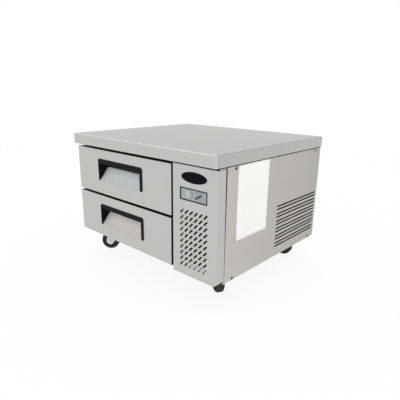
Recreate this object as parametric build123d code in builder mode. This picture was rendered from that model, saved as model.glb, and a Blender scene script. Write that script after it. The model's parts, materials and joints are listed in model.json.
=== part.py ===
# A refrigerated chef base: two drawers under a flat worktop, a machine compartment at the right, casters.
# Millimetres. +X is to the right seen from the front, +Y to the back, +Z up. The origin is on the floor under
# the middle of the worktop.

import math
import os

from build123d import *

os.makedirs("parts", exist_ok=True)

# Overall size, over the worktop and from the floor
overall_width = 920.0
overall_depth = 816.0
overall_height = 635.5

# Shared clearances
overrun = 5.0  # how far a cut runs past what it cuts
face_clearance = 0.3  # between flat faces that pass each other
shaft_clearance = 0.05  # on the radius of a shaft in its bore

# Worktop
worktop_edge = 48.0
worktop_sheet = 1.5
worktop_corner_radius = 4.0
worktop_bend_radius = 3.0
worktop_flange = 68.0
worktop_side_overhang = 1.0
worktop_front_overhang = 20.0
worktop_rear_overhang = 10.0

# Insulated cabinet: each wall is measured from the outer sheet to the inner face of the liner
caster_height = 121.5
cabinet_sheet = 1.0
side_wall = 55.0
divider_wall = 54.0
rear_wall = 55.0
floor_wall = 46.0
ceiling_wall = 24.0
liner_corner_radius = 12.0
frame_thickness = 4.0
mullion_depth = 36.0

# Drawer fronts and the gaps round them
machine_width = 234.0
front_gap = 10.0
divider_setback = 3.0
drawer_bottom_gap = 15.0
drawer_gap = 11.5
drawer_top_gap = 16.0
upper_front_extra = 4.5  # how much taller the upper front is than the lower one
front_thickness = 42.0
front_sheet = 1.0
front_bend_radius = 2.0
seal_overlap = 18.0
gasket_thickness = 7.7
gasket_width = 12.0
gasket_inset = 3.0
gasket_foot_width = 7.0
gasket_foot_thickness = 3.0
plug_depth = 22.0
plug_clearance = 12.0
plug_corner_radius = 10.0

# Recessed handle
handle_width = 322.0
handle_height = 101.0
handle_drop = 48.0
handle_offset = -4.0
handle_depth = 50.0
handle_rise = 58.0
handle_hood = 3.0
handle_leg = 5.5
handle_band = 17.0
handle_proud = 2.0
handle_corner_radius = 10.0
handle_lip_radius = 3.0
handle_edge_radius = 0.8
handle_plate_sheet = 1.2
handle_bend_radius = 4.0

# Telescopic slides: a fixed channel, a middle channel and a channel on the drawer
slide_height = 44.0
slide_depth = 16.0
slide_sheet = 1.5
slide_gap = 0.4
slide_web_gap = 1.0
slide_setback = 6.0
slide_back_gap = 30.0
slide_drop = 30.0
fixed_channel_width = 12.0
middle_channel_width = 11.0
drawer_channel_width = 10.0
plug_slide_gap = 4.0

# Pan frame on the drawer
pan_frame_back_gap = 22.0
pan_bar_width = 15.0
pan_bar_sheet = 1.5
pan_bar_drop = 36.4
pan_divider_width = 12.0
pan_divider_drop = 20.0
full_pan_width = 325.0

# Machine compartment
cover_depth = 40.0
cover_sheet = 1.2
cover_top_gap = 9.0
cover_bend_radius = 5.0
cover_notch_width = 14.0
cover_notch_height = 20.0
seam_gap = 5.0
panel_sheet = 1.2
panel_flange = 14.0
panel_top_gap = 3.0
panel_bend_radius = 1.0
base_sheet = 1.5
base_flange = 24.0
machine_frame_bar = 20.0
machine_frame_depth = 40.0
machine_frame_sheet = 1.5
machine_frame_side_gap = 14.0

# Slots in the front cover, at 45 degrees
slot_length = 26.0
slot_width = 7.5
slot_pitch = 24.8
slot_angle = 45.0
slot_columns = 6
slot_center_from_right = 122.85
slot_foot_gap = 47.65
slot_window_gap = 40.0

# Filter rail behind the slots, measured from the centres of the outer slots
rail_gap = 8.0
rail_sheet = 1.2
rail_side_margin = 18.0
rail_top_margin = 13.0
rail_foot_drop = 5.6
rail_upright_width = 21.0
rail_foot_height = 8.0

# Slots in the side panel, in six pairs
side_slot_length = 362.0
side_slot_width = 7.2
side_slot_pair_gap = 15.2
side_slot_pair_pitch = 34.9
side_slot_pairs = 6
side_slot_center_from_back = 196.8
side_slot_center_height = 142.6
back_slot_length = 118.0
back_slot_rows = 8
back_slot_center_from_top = 120.0

# Screws in the side panel
screw_head_radius = 5.5
screw_head_height = 1.0
screw_shank_radius = 2.2
screw_hole_radius = 2.5
screw_shank_length = 8.0
screw_front_inset = 52.0
screw_back_inset = 50.0
screw_top_inset = 13.0
screw_bottom_inset = 7.5

# Badge and control window in the cover
badge_width = 129.0
badge_height = 44.0
badge_thickness = 3.0
badge_edge_radius = 1.5
badge_center_from_right = 121.8
badge_center_from_top = 45.0
window_width = 141.0
window_height = 51.0
window_center_from_right = 124.8
window_center_from_top = 113.8
bezel_wall = 4.0
bezel_proud = 1.5
bezel_depth = 8.0
bezel_corner_radius = 2.0
control_plate_recess = 1.5
control_box_depth = 30.0
control_box_inset = 6.0
lens_width = 46.0
lens_height = 32.0
lens_thickness = 2.5
lens_edge_radius = 1.0
lens_center_from_left = 43.0
knob_radius = 18.5
knob_disc = 3.0
knob_bar_length = 36.0
knob_bar_width = 6.0
knob_bar_height = 7.0
knob_bar_angle = 32.0
knob_edge_radius = 0.8
knob_shaft_radius = 3.0
knob_shaft_length = 12.0
knob_gap = 0.5
knob_center_from_right = 41.0

# Condenser, shroud and fan behind the front slots
coil_width = 200.0
coil_height = 220.0
coil_depth = 50.0
coil_left_gap = 16.0
coil_front_gap = 26.0
coil_base_height = 54.0
fin_pitch = 8.0
fin_gap = 5.6
fin_margin = 4.0
bend_tube_radius = 4.5
bend_radius = 11.0
bend_rows = 4
evaporator_bend_rows = 2
bend_row_pitch = 50.0
shroud_sheet = 2.0
shroud_depth = 40.0
shroud_lip_height = 10.0
shroud_lip_width = 136.0
fan_opening_radius = 94.0
condenser_fan_radius = 90.0
condenser_hub_radius = 22.0
condenser_hub_depth = 18.0
condenser_blade_share = 0.62
condenser_blade_count = 5
fan_blade_sheet = 1.6
fan_blade_tilt = 26.0
fan_shaft_radius = 3.0
fan_back_gap = 6.0
motor_radius = 38.0
motor_length = 58.0
motor_edge_radius = 6.0
motor_arm_width = 12.0
motor_arm_sheet = 2.0
motor_arm_reach = 96.0

# Compressor on its rubber feet
compressor_length = 200.0
compressor_width = 150.0
compressor_height = 170.0
compressor_dome_radius = 48.0
compressor_base_radius = 24.0
compressor_seam = 3.0
compressor_seam_height = 5.0
compressor_seam_share = 0.52
compressor_stub_radius = 6.0
compressor_stub_rise = 6.0
compressor_setback = 21.0
compressor_center_from_left = 112.0
foot_plate_length = 190.0
foot_plate_width = 170.0
foot_plate_sheet = 3.0
foot_plate_corner_radius = 14.0
foot_inset = 15.0
grommet_radius = 13.0
grommet_height = 16.0
grommet_neck_radius = 8.0
grommet_neck_height = 8.0
terminal_width = 50.0
terminal_height = 60.0
terminal_depth = 26.0
terminal_edge_radius = 3.0

# Refrigerant lines and drier
line_radius = 4.0
line_bend_radius = 18.0
drier_radius = 12.0
drier_length = 90.0
drier_cone = 14.0

# Electrical box
box_width = 130.0
box_depth = 90.0
box_height = 110.0
box_lid_height = 12.0
box_lid_overlap = 2.0
box_edge_radius = 3.0
box_left_gap = 30.0
box_back_gap = 60.0

# Cord gland in the back panel
gland_radius = 13.0
gland_bore_radius = 5.0
gland_neck_radius = 8.0
gland_flange = 4.0
gland_inner_length = 10.0
gland_from_right = 40.0
gland_height = 60.0

# Evaporator at the back of the cold space
evaporator_depth = 85.0
evaporator_side_gap = 56.0
evaporator_floor_gap = 33.0
evaporator_ceiling_gap = 23.0
evaporator_sheet = 1.2
evaporator_corner_radius = 6.0
evaporator_fan_from_top = 95.0
evaporator_opening_radius = 75.0
guard_ring_width = 3.0
guard_ring_shares = (0.32, 0.6, 0.88)
guard_sheet = 2.0
evaporator_fan_radius = 66.0
evaporator_hub_radius = 18.0
evaporator_hub_depth = 16.0
evaporator_fan_front_gap = 8.0
evaporator_blade_count = 5
evaporator_motor_radius = 28.0
evaporator_motor_gap = 6.0
intake_slot_width = 8.0
intake_slot_pitch = 18.0
intake_side_margin = 55.0
intake_middle_gap = 50.0
intake_foot_gap = 50.0
intake_fan_gap = 26.0
evaporator_coil_inset = 30.0
evaporator_coil_height = 80.0
evaporator_coil_depth = 48.0
evaporator_coil_back_gap = 5.0

# Casters
caster_side_inset = 90.5
caster_front_inset = 141.7
caster_rear_inset = 63.4
caster_trail = 33.5
front_left_angle = 219.0
front_right_angle = 152.0
rear_left_angle = 215.0
rear_right_angle = 186.0
plate_length = 104.0
plate_width = 86.0
plate_thickness = 4.0
plate_corner_radius = 8.0
bolt_spacing_length = 80.0
bolt_spacing_width = 62.0
bolt_head_radius = 8.0
bolt_head_height = 5.5
cup_radius = 31.0
cup_height = 9.0
cup_edge_radius = 2.0
kingpin_radius = 6.0
kingpin_nut_radius = 9.0
kingpin_nut_height = 6.0
wheel_radius = 47.0
wheel_width = 31.0
wheel_crown_width = 20.0
wheel_shoulder_radius = 41.5
wheel_rim_radius = 34.0
wheel_hub_radius = 16.0
wheel_recess = 5.0
wheel_hub_overhang = 2.5
axle_radius = 5.0
axle_head_radius = 8.5
axle_head_height = 5.0
fork_sheet = 3.0
fork_hub_gap = 0.5
fork_crown_thickness = 4.0
fork_crown_gap = 4.0
fork_crown_back = 30.0
fork_crown_front = 38.0
fork_dome_radius = 29.0
fork_leg_radius = 20.0
fork_leg_share = 0.8

# Places worked out from the sizes above
body_left = -overall_width / 2 + worktop_side_overhang
body_right = overall_width / 2 - worktop_side_overhang
body_bottom = caster_height
body_top = overall_height - worktop_edge
front_plane = -overall_depth / 2 + worktop_front_overhang
body_back = overall_depth / 2 - worktop_rear_overhang
front_back = front_plane + front_thickness
face_plane = front_back + gasket_thickness + face_clearance
shell_front = face_plane + frame_thickness

machine_left = body_right - machine_width
cold_right = machine_left - divider_setback
drawer_left = body_left
drawer_right = machine_left - front_gap
liner_left = body_left + side_wall
liner_right = cold_right - divider_wall
liner_back = body_back - rear_wall
liner_floor = body_bottom + floor_wall
liner_ceiling = body_top - ceiling_wall
liner_middle = (liner_left + liner_right) / 2
evaporator_front = liner_back - evaporator_depth

upper_top = body_top - drawer_top_gap
lower_bottom = body_bottom + drawer_bottom_gap
upper_bottom = upper_top - (upper_top - lower_bottom - drawer_gap + upper_front_extra) / 2
lower_top = upper_bottom - drawer_gap
upper_opening = (upper_bottom + seal_overlap, upper_top - seal_overlap)
lower_opening = (liner_floor, lower_top - seal_overlap)

cover_back = front_plane + cover_depth
cover_top = body_top - cover_top_gap
panel_front = cover_back + seam_gap
machine_front = panel_front - (machine_frame_depth - machine_frame_bar)
machine_back = body_back - panel_sheet
panel_inner = body_right - panel_sheet
machine_floor = body_bottom + base_sheet


def facing_front(y):
    """A sketch plane at depth y, seen from the front: its x is +X and its y is +Z."""
    return Plane.XZ.offset(-y)


def facing_right(x):
    """A sketch plane at x, seen from the right: its x is +Y and its y is +Z."""
    return Plane.YZ.offset(x)


def span(low_x, high_x, low_y, high_y, mode=Mode.ADD):
    """A rectangle between two corners, in the sketch being drawn."""
    with Locations(((low_x + high_x) / 2, (low_y + high_y) / 2)):
        Rectangle(high_x - low_x, high_y - low_y, mode=mode)


# Worktop: a pan of folded sheet, open below inside its return flange
with BuildPart() as worktop:
    with BuildSketch(Plane.XY.offset(body_top)):
        RectangleRounded(overall_width, overall_depth, worktop_corner_radius)
    extrude(amount=worktop_edge)
    fillet(worktop.faces().sort_by(Axis.Z)[-1].edges(), worktop_bend_radius)
    with BuildSketch(Plane.XY.offset(body_top + worktop_sheet)):
        RectangleRounded(
            overall_width - 2 * worktop_sheet,
            overall_depth - 2 * worktop_sheet,
            worktop_corner_radius - worktop_sheet,
        )
    extrude(amount=worktop_edge - 2 * worktop_sheet, mode=Mode.SUBTRACT)
    with BuildSketch(Plane.XY.offset(body_top - overrun)):
        Rectangle(overall_width - 2 * worktop_flange, overall_depth - 2 * worktop_flange)
    extrude(amount=worktop_sheet + 2 * overrun, mode=Mode.SUBTRACT)
worktop.part.label = "worktop"
export_step(worktop.part, "parts/worktop.step")

with BuildPart() as worktop_core:
    with BuildSketch(Plane.XY.offset(body_top + worktop_sheet)):
        RectangleRounded(
            overall_width - 2 * worktop_sheet,
            overall_depth - 2 * worktop_sheet,
            worktop_corner_radius - worktop_sheet,
        )
    extrude(amount=worktop_edge - 2 * worktop_sheet)
worktop_core.part.label = "worktop_core"
export_step(worktop_core.part, "parts/worktop_core.step")

# Outer shell of the cold space: five walls of sheet, open at the front
with BuildPart() as outer_shell:
    with BuildSketch():
        span(body_left, cold_right, shell_front, body_back)
    extrude(amount=body_top)
    with BuildSketch():
        span(body_left - overrun, cold_right + overrun, shell_front - overrun, body_back + overrun)
    extrude(amount=body_bottom, mode=Mode.SUBTRACT)
    offset(amount=-cabinet_sheet, openings=outer_shell.faces().sort_by(Axis.Y)[0])
outer_shell.part.label = "outer_shell"
export_step(outer_shell.part, "parts/outer_shell.step")


def liner_cavity(clearance):
    """The rounded room that the liner lines, as a solid, larger all round by the clearance."""
    with BuildPart() as cavity:
        with BuildSketch(facing_front(shell_front)):
            span(
                liner_left - clearance,
                liner_right + clearance,
                liner_floor - clearance,
                liner_ceiling + clearance,
            )
        extrude(amount=-(liner_back - shell_front + clearance))
        fillet(cavity.edges().filter_by(Axis.Y), liner_corner_radius + clearance)
        fillet(cavity.faces().sort_by(Axis.Y)[-1].edges(), liner_corner_radius + clearance)
    return cavity.part


# Foam that fills the walls between the shell and the liner
with BuildPart() as insulation:
    with BuildSketch(facing_front(shell_front)):
        span(
            body_left + cabinet_sheet,
            cold_right - cabinet_sheet,
            body_bottom + cabinet_sheet,
            body_top - cabinet_sheet,
        )
    extrude(amount=-(body_back - shell_front - cabinet_sheet))
    add(liner_cavity(cabinet_sheet), mode=Mode.SUBTRACT)
insulation.part.label = "insulation"
export_step(insulation.part, "parts/insulation.step")

with BuildPart() as liner:
    add(liner_cavity(cabinet_sheet))
    add(liner_cavity(0), mode=Mode.SUBTRACT)
liner.part.label = "liner"
export_step(liner.part, "parts/liner.step")

# Face frame: a plate round both drawer openings, with the mullion bar between them
with BuildPart() as face_frame:
    with BuildSketch(facing_front(face_plane)):
        span(body_left, cold_right, body_bottom, body_top)
        span(liner_left, liner_right, *upper_opening, mode=Mode.SUBTRACT)
        span(liner_left, liner_right, *lower_opening, mode=Mode.SUBTRACT)
    extrude(amount=-frame_thickness)
    with BuildSketch(facing_front(face_plane)):
        span(liner_left, liner_right, lower_opening[1], upper_opening[0])
    extrude(amount=-mullion_depth)
    with BuildSketch(facing_front(shell_front)):
        span(
            liner_left + liner_corner_radius,
            liner_right - liner_corner_radius,
            lower_opening[1] + frame_thickness,
            upper_opening[0] - frame_thickness,
        )
    extrude(amount=-(mullion_depth - frame_thickness + overrun), mode=Mode.SUBTRACT)
face_frame.part.label = "face_frame"
export_step(face_frame.part, "parts/face_frame.step")


def handle_places(top):
    """The recess of a handle in a drawer front whose upper edge is at top: left, right, bottom, top."""
    middle = (drawer_left + drawer_right) / 2 + handle_offset
    high = top - handle_drop
    return middle - handle_width / 2, middle + handle_width / 2, high - handle_height, high


def recess_run(low, high):
    """Draws the floor and the back of a handle recess from the side: a slope, a bend and an upright."""
    back = front_plane + handle_depth
    return FilletPolyline(
        (front_plane + front_sheet, low),
        (back, low + handle_rise),
        (back, high),
        radius=handle_bend_radius,
    )


def make_drawer(name, low, high, opening):
    """Writes the pieces of one drawer: its insulated front, its handle and the frame for the pans."""
    left, right, recess_low, recess_high = handle_places(high)
    slide_z = opening[1] - slide_drop
    skin_back = front_plane + front_sheet

    with BuildPart() as front_skin:
        with BuildSketch(facing_front(front_plane)):
            span(drawer_left, drawer_right, low, high)
        extrude(amount=-front_thickness)
        fillet(front_skin.faces().sort_by(Axis.Y)[0].edges(), front_bend_radius)
        with BuildSketch(facing_front(skin_back)):
            span(
                drawer_left + front_sheet,
                drawer_right - front_sheet,
                low + front_sheet,
                high - front_sheet,
            )
        extrude(amount=-front_thickness, mode=Mode.SUBTRACT)
        with BuildSketch(facing_front(front_plane - overrun)) as window:
            span(left, right, recess_low, recess_high)
            fillet(window.vertices().group_by(Axis.Y)[-1], handle_corner_radius)
        extrude(amount=-2 * overrun, mode=Mode.SUBTRACT)
    front_skin.part.label = f"{name}_front_skin"
    export_step(front_skin.part, f"parts/{name}_front_skin.step")

    plug_side = slide_depth + plug_slide_gap
    with BuildPart() as inner_panel:
        with BuildSketch(facing_front(skin_back)):
            span(
                drawer_left + front_sheet,
                drawer_right - front_sheet,
                low + front_sheet,
                high - front_sheet,
            )
        extrude(amount=-(front_thickness - front_sheet))
        with BuildSketch(facing_front(front_back)) as plug:
            span(
                liner_left + plug_side,
                liner_right - plug_side,
                opening[0] + plug_clearance,
                opening[1] - plug_clearance,
            )
            fillet(plug.vertices(), plug_corner_radius)
        extrude(amount=-plug_depth, taper=math.degrees(math.atan2(plug_slide_gap, plug_depth)))
        with BuildSketch(facing_right(left)):
            with BuildLine():
                run = recess_run(recess_low, recess_high)
                Polyline(run @ 1, (skin_back, recess_high), run @ 0)
            make_face()
        extrude(amount=handle_width, mode=Mode.SUBTRACT)
    inner_panel.part.label = f"{name}_inner_panel"
    export_step(inner_panel.part, f"parts/{name}_inner_panel.step")

    with BuildPart() as gasket:
        with BuildSketch(facing_front(front_back)):
            for grow, mode in ((gasket_inset, Mode.ADD), (gasket_inset + gasket_foot_width, Mode.SUBTRACT)):
                span(drawer_left + grow, drawer_right - grow, low + grow, high - grow, mode=mode)
        extrude(amount=-gasket_foot_thickness)
        with BuildSketch(facing_front(front_back + gasket_foot_thickness)):
            for grow, mode in ((gasket_inset, Mode.ADD), (gasket_inset + gasket_width, Mode.SUBTRACT)):
                span(drawer_left + grow, drawer_right - grow, low + grow, high - grow, mode=mode)
        extrude(amount=-(gasket_thickness - gasket_foot_thickness))
    gasket.part.label = f"{name}_gasket"
    export_step(gasket.part, f"parts/{name}_gasket.step")

    with BuildPart() as grip:
        with BuildSketch(facing_front(front_plane - handle_proud)) as face:
            span(left, right, recess_low, recess_high)
            fillet(face.vertices().group_by(Axis.Y)[-1], handle_corner_radius)
            span(
                left + handle_leg,
                right - handle_leg,
                recess_low - overrun,
                recess_high - handle_band,
                mode=Mode.SUBTRACT,
            )
        extrude(amount=-(handle_proud + front_sheet))
        chamfer(grip.faces().sort_by(Axis.Y)[0].edges(), handle_edge_radius)
        with BuildSketch(facing_right(left)):
            with BuildLine():
                run = recess_run(recess_low, recess_high)
                Polyline(run @ 1, (skin_back, recess_high), run @ 0)
            make_face()
        extrude(amount=handle_width)
        with BuildSketch(facing_right(left + handle_leg)):
            span(
                skin_back,
                front_plane + handle_depth + overrun,
                recess_low - overrun,
                recess_high - handle_hood,
            )
        extrude(amount=handle_width - 2 * handle_leg, mode=Mode.SUBTRACT)
        with BuildSketch(facing_right(left + handle_leg)):
            with Locations((front_plane - handle_proud + handle_lip_radius, recess_high - handle_band)):
                Circle(handle_lip_radius)
        extrude(amount=handle_width - 2 * handle_leg)
    grip.part.label = f"{name}_handle_grip"
    export_step(grip.part, f"parts/{name}_handle_grip.step")

    with BuildPart() as handle_plate:
        with BuildSketch(facing_right(left + handle_leg)):
            with BuildLine():
                recess_run(recess_low, recess_high - handle_hood)
                offset(amount=handle_plate_sheet, side=Side.LEFT)
            make_face()
        extrude(amount=handle_width - 2 * handle_leg)
    handle_plate.part.label = f"{name}_handle_plate"
    export_step(handle_plate.part, f"parts/{name}_handle_plate.step")

    frame_left = liner_left + slide_depth
    frame_right = liner_right - slide_depth
    frame_front = front_back + plug_depth
    frame_back = evaporator_front - pan_frame_back_gap
    frame_top = slide_z + pan_bar_drop / 2
    divider_left = frame_left + pan_bar_width + full_pan_width
    with BuildPart() as pan_frame:
        with BuildSketch(Plane.XY.offset(frame_top - pan_bar_drop)):
            span(frame_left, frame_right, frame_front, frame_back)
            span(
                frame_left + pan_bar_sheet,
                frame_right - pan_bar_sheet,
                frame_front + pan_bar_sheet,
                frame_back - pan_bar_sheet,
                mode=Mode.SUBTRACT,
            )
        extrude(amount=pan_bar_drop)
        with BuildSketch(Plane.XY.offset(frame_top - pan_bar_sheet)):
            span(frame_left, frame_right, frame_front, frame_back)
            span(
                frame_left + pan_bar_width,
                divider_left,
                frame_front + pan_bar_width,
                frame_back - pan_bar_width,
                mode=Mode.SUBTRACT,
            )
            span(
                divider_left + pan_divider_width,
                frame_right - pan_bar_width,
                frame_front + pan_bar_width,
                frame_back - pan_bar_width,
                mode=Mode.SUBTRACT,
            )
        extrude(amount=pan_bar_sheet)
        with BuildSketch(Plane.XY.offset(frame_top - pan_divider_drop)):
            for edge in (divider_left, divider_left + pan_divider_width - pan_bar_sheet):
                span(edge, edge + pan_bar_sheet, frame_front, frame_back)
        extrude(amount=pan_divider_drop)
    pan_frame.part.label = f"{name}_pan_frame"
    export_step(pan_frame.part, f"parts/{name}_pan_frame.step")


def channel(web_x, side, z, height, width):
    """Draws a C channel seen from the front: its web is at web_x and its flanges point to the given side."""
    low, high = sorted((web_x, web_x + side * width))
    span(low, high, z - height / 2, z + height / 2)
    hollow_low, hollow_high = sorted((web_x + side * slide_sheet, web_x + side * (width + slide_sheet)))
    half = height / 2 - slide_sheet
    span(hollow_low, hollow_high, z - half, z + half, mode=Mode.SUBTRACT)


def make_slides(name, opening):
    """Writes one drawer's slides: the fixed channels, the two middle channels and the drawer's channels."""
    slide_z = opening[1] - slide_drop
    start = face_plane + slide_setback
    length = evaporator_front - slide_back_gap - start
    middle_height = slide_height - 2 * slide_sheet - 2 * slide_gap
    drawer_height = middle_height - 2 * slide_sheet - 2 * slide_gap
    walls = ((liner_left, 1, "left"), (liner_right, -1, "right"))

    with BuildPart() as fixed:
        for wall, side, _ in walls:
            with BuildSketch(facing_front(start)):
                channel(wall, side, slide_z, slide_height, fixed_channel_width)
            extrude(amount=-length)
    fixed.part.label = f"{name}_fixed_slides"
    export_step(fixed.part, f"parts/{name}_fixed_slides.step")

    for wall, side, word in walls:
        with BuildPart() as middle:
            with BuildSketch(facing_front(start)):
                web = wall + side * (slide_sheet + slide_web_gap)
                channel(web, side, slide_z, middle_height, middle_channel_width)
            extrude(amount=-length)
        middle.part.label = f"{name}_{word}_middle_slide"
        export_step(middle.part, f"parts/{name}_{word}_middle_slide.step")

    with BuildPart() as moving:
        for wall, side, _ in walls:
            with BuildSketch(facing_front(start)):
                channel(wall + side * slide_depth, -side, slide_z, drawer_height, drawer_channel_width)
            extrude(amount=-length)
    moving.part.label = f"{name}_drawer_slides"
    export_step(moving.part, f"parts/{name}_drawer_slides.step")


for drawer_name, drawer_low, drawer_high, drawer_opening in (
    ("upper", upper_bottom, upper_top, upper_opening),
    ("lower", lower_bottom, lower_top, lower_opening),
):
    make_drawer(drawer_name, drawer_low, drawer_high, drawer_opening)
    make_slides(drawer_name, drawer_opening)

# Base tray of the machine compartment, with flanges at its right and back
screw_places = [
    (panel_front + screw_front_inset, body_top - screw_top_inset),
    (machine_back - screw_back_inset, body_top - screw_top_inset),
    (panel_front + screw_front_inset, body_bottom + screw_bottom_inset),
    (machine_back - screw_back_inset, body_bottom + screw_bottom_inset),
]
with BuildPart() as machine_base:
    with BuildSketch(Plane.XY.offset(body_bottom)):
        span(cold_right, panel_inner, panel_front + panel_sheet, machine_back - panel_sheet)
    extrude(amount=base_sheet)
    with BuildSketch(Plane.XY.offset(machine_floor)):
        span(panel_inner - base_sheet, panel_inner, panel_front + panel_flange, machine_back - panel_sheet)
        span(cold_right, panel_inner, machine_back - panel_sheet - base_sheet, machine_back - panel_sheet)
    extrude(amount=base_flange)
    with BuildSketch(facing_right(panel_inner + overrun)):
        with Locations(*screw_places[2:]):
            Circle(screw_hole_radius)
    extrude(amount=-3 * overrun, mode=Mode.SUBTRACT)
machine_base.part.label = "machine_base"
export_step(machine_base.part, "parts/machine_base.step")

# Front frame of the machine compartment, folded from sheet and open at the back; the cover slips over it
frame_left = machine_left + cover_sheet
frame_right = panel_inner - machine_frame_side_gap
frame_top = cover_top - cover_sheet
with BuildPart() as machine_frame:
    with BuildSketch(facing_front(machine_front)):
        span(frame_left, frame_right, machine_floor, frame_top)
        span(
            frame_left + machine_frame_bar,
            frame_right - machine_frame_bar,
            machine_floor + machine_frame_bar,
            frame_top - machine_frame_bar,
            mode=Mode.SUBTRACT,
        )
    extrude(amount=-machine_frame_depth)
    inner_bar = machine_frame_bar - machine_frame_sheet
    with BuildSketch(facing_front(machine_front + machine_frame_sheet)):
        span(
            frame_left + machine_frame_sheet,
            frame_right - machine_frame_sheet,
            machine_floor + machine_frame_sheet,
            frame_top - machine_frame_sheet,
        )
        span(
            frame_left + inner_bar,
            frame_right - inner_bar,
            machine_floor + inner_bar,
            frame_top - inner_bar,
            mode=Mode.SUBTRACT,
        )
    extrude(amount=-machine_frame_depth, mode=Mode.SUBTRACT)
machine_frame.part.label = "machine_frame"
export_step(machine_frame.part, "parts/machine_frame.step")

# Front cover: a pan of sheet with slanted slots, a control window and a corner cut out at its foot
notch_left = body_right - cover_notch_width
notch_top = body_bottom + cover_notch_height
window_x = body_right - window_center_from_right
window_z = cover_top - window_center_from_top
slot_x = body_right - slot_center_from_right
slot_low = body_bottom + slot_foot_gap
slot_limit = window_z - window_height / 2 - slot_window_gap
slot_steps = int((slot_limit - slot_low) / slot_pitch)
slot_z = slot_low + slot_steps * slot_pitch / 2
with BuildPart() as machine_cover:
    with BuildSketch(facing_front(front_plane)):
        span(machine_left, body_right, body_bottom, cover_top)
        span(notch_left, body_right + overrun, body_bottom - overrun, notch_top, mode=Mode.SUBTRACT)
    extrude(amount=-cover_depth)
    upright = machine_cover.edges().filter_by(Axis.Z).group_by(Axis.Y)[0].sort_by(Axis.X)
    fillet(upright[-1], cover_bend_radius)
    offset(amount=-cover_sheet, openings=machine_cover.faces().sort_by(Axis.Y)[-1])
    with BuildSketch(facing_front(front_plane - overrun)):
        with Locations((slot_x, slot_z)):
            with GridLocations(slot_pitch, slot_pitch, slot_columns, slot_steps + 1):
                SlotOverall(slot_length, slot_width, rotation=slot_angle)
        with Locations((window_x, window_z)):
            RectangleRounded(window_width, window_height, bezel_corner_radius)
    extrude(amount=-2 * overrun, mode=Mode.SUBTRACT)
machine_cover.part.label = "machine_cover"
export_step(machine_cover.part, "parts/machine_cover.step")

# Filter rail: an upright behind the first column of slots and a bar behind the lowest row, with tabs folded
# forward to the cover at both ends
rail_front = front_plane + cover_sheet + rail_gap
column_reach = (slot_columns - 1) * slot_pitch / 2
rail_left = slot_x - column_reach - rail_side_margin
rail_right = slot_x + column_reach + rail_side_margin
rail_low = slot_low - rail_foot_drop - rail_foot_height / 2
rail_high = slot_low + slot_steps * slot_pitch + rail_top_margin
with BuildPart() as filter_rail:
    with BuildSketch(facing_front(rail_front)):
        span(rail_left, rail_left + rail_upright_width, rail_low, rail_high)
        span(rail_left, rail_right, rail_low, rail_low + rail_foot_height)
    extrude(amount=-rail_sheet)
    with BuildSketch(facing_front(rail_front)):
        span(rail_left, rail_left + rail_sheet, rail_low, rail_high)
        span(rail_right - rail_sheet, rail_right, rail_low, rail_low + rail_foot_height)
    extrude(amount=rail_gap)
filter_rail.part.label = "filter_rail"
export_step(filter_rail.part, "parts/filter_rail.step")

# Side panel: folded sheet with six pairs of slot rows
side_slot_y = body_back - side_slot_center_from_back
side_slot_z = body_bottom + side_slot_center_height
with BuildPart() as side_panel:
    with BuildSketch():
        span(panel_inner, body_right, panel_front, machine_back)
        span(panel_inner - panel_flange, panel_inner, panel_front, panel_front + panel_sheet)
        span(panel_inner - panel_flange, panel_inner, machine_back - panel_sheet, machine_back)
    extrude(amount=body_top - panel_top_gap)
    with BuildSketch():
        span(
            panel_inner - panel_flange - overrun,
            body_right + overrun,
            panel_front - overrun,
            machine_back + overrun,
        )
    extrude(amount=body_bottom, mode=Mode.SUBTRACT)
    with BuildSketch(facing_right(panel_inner - overrun)):
        with Locations((side_slot_y, side_slot_z)):
            with GridLocations(0, side_slot_pair_pitch, 1, side_slot_pairs):
                with GridLocations(0, side_slot_pair_gap, 1, 2):
                    SlotOverall(side_slot_length, side_slot_width)
        with Locations(*screw_places):
            Circle(screw_hole_radius)
    extrude(amount=2 * overrun + panel_sheet, mode=Mode.SUBTRACT)
    outer_bends = side_panel.edges().filter_by(Axis.Z).group_by(Axis.X)[-1]
    fillet(outer_bends, panel_bend_radius)
side_panel.part.label = "side_panel"
export_step(side_panel.part, "parts/side_panel.step")

# Back panel of the machine compartment, with a field of slots and the hole for the cord gland
gland_x = body_right - gland_from_right
gland_z = body_bottom + gland_height
back_middle = (cold_right + body_right) / 2
with BuildPart() as back_panel:
    with BuildSketch(facing_front(machine_back)):
        span(cold_right, body_right, body_bottom, body_top)
        with Locations((back_middle, body_top - back_slot_center_from_top)):
            with GridLocations(0, side_slot_pair_gap, 1, back_slot_rows):
                SlotOverall(back_slot_length, side_slot_width, mode=Mode.SUBTRACT)
        with Locations((gland_x, gland_z)):
            Circle(gland_neck_radius + shaft_clearance, mode=Mode.SUBTRACT)
    extrude(amount=-panel_sheet)
back_panel.part.label = "back_panel"
export_step(back_panel.part, "parts/back_panel.step")

with BuildPart() as panel_screws:
    with BuildSketch(facing_right(body_right)):
        with Locations(*screw_places):
            Circle(screw_head_radius)
    extrude(amount=screw_head_height)
    fillet(panel_screws.faces().group_by(Axis.X)[-1].edges(), screw_head_height / 2)
    with BuildSketch(facing_right(body_right)):
        with Locations(*screw_places):
            Circle(screw_shank_radius)
    extrude(amount=-screw_shank_length)
panel_screws.part.label = "panel_screws"
export_step(panel_screws.part, "parts/panel_screws.step")

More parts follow.
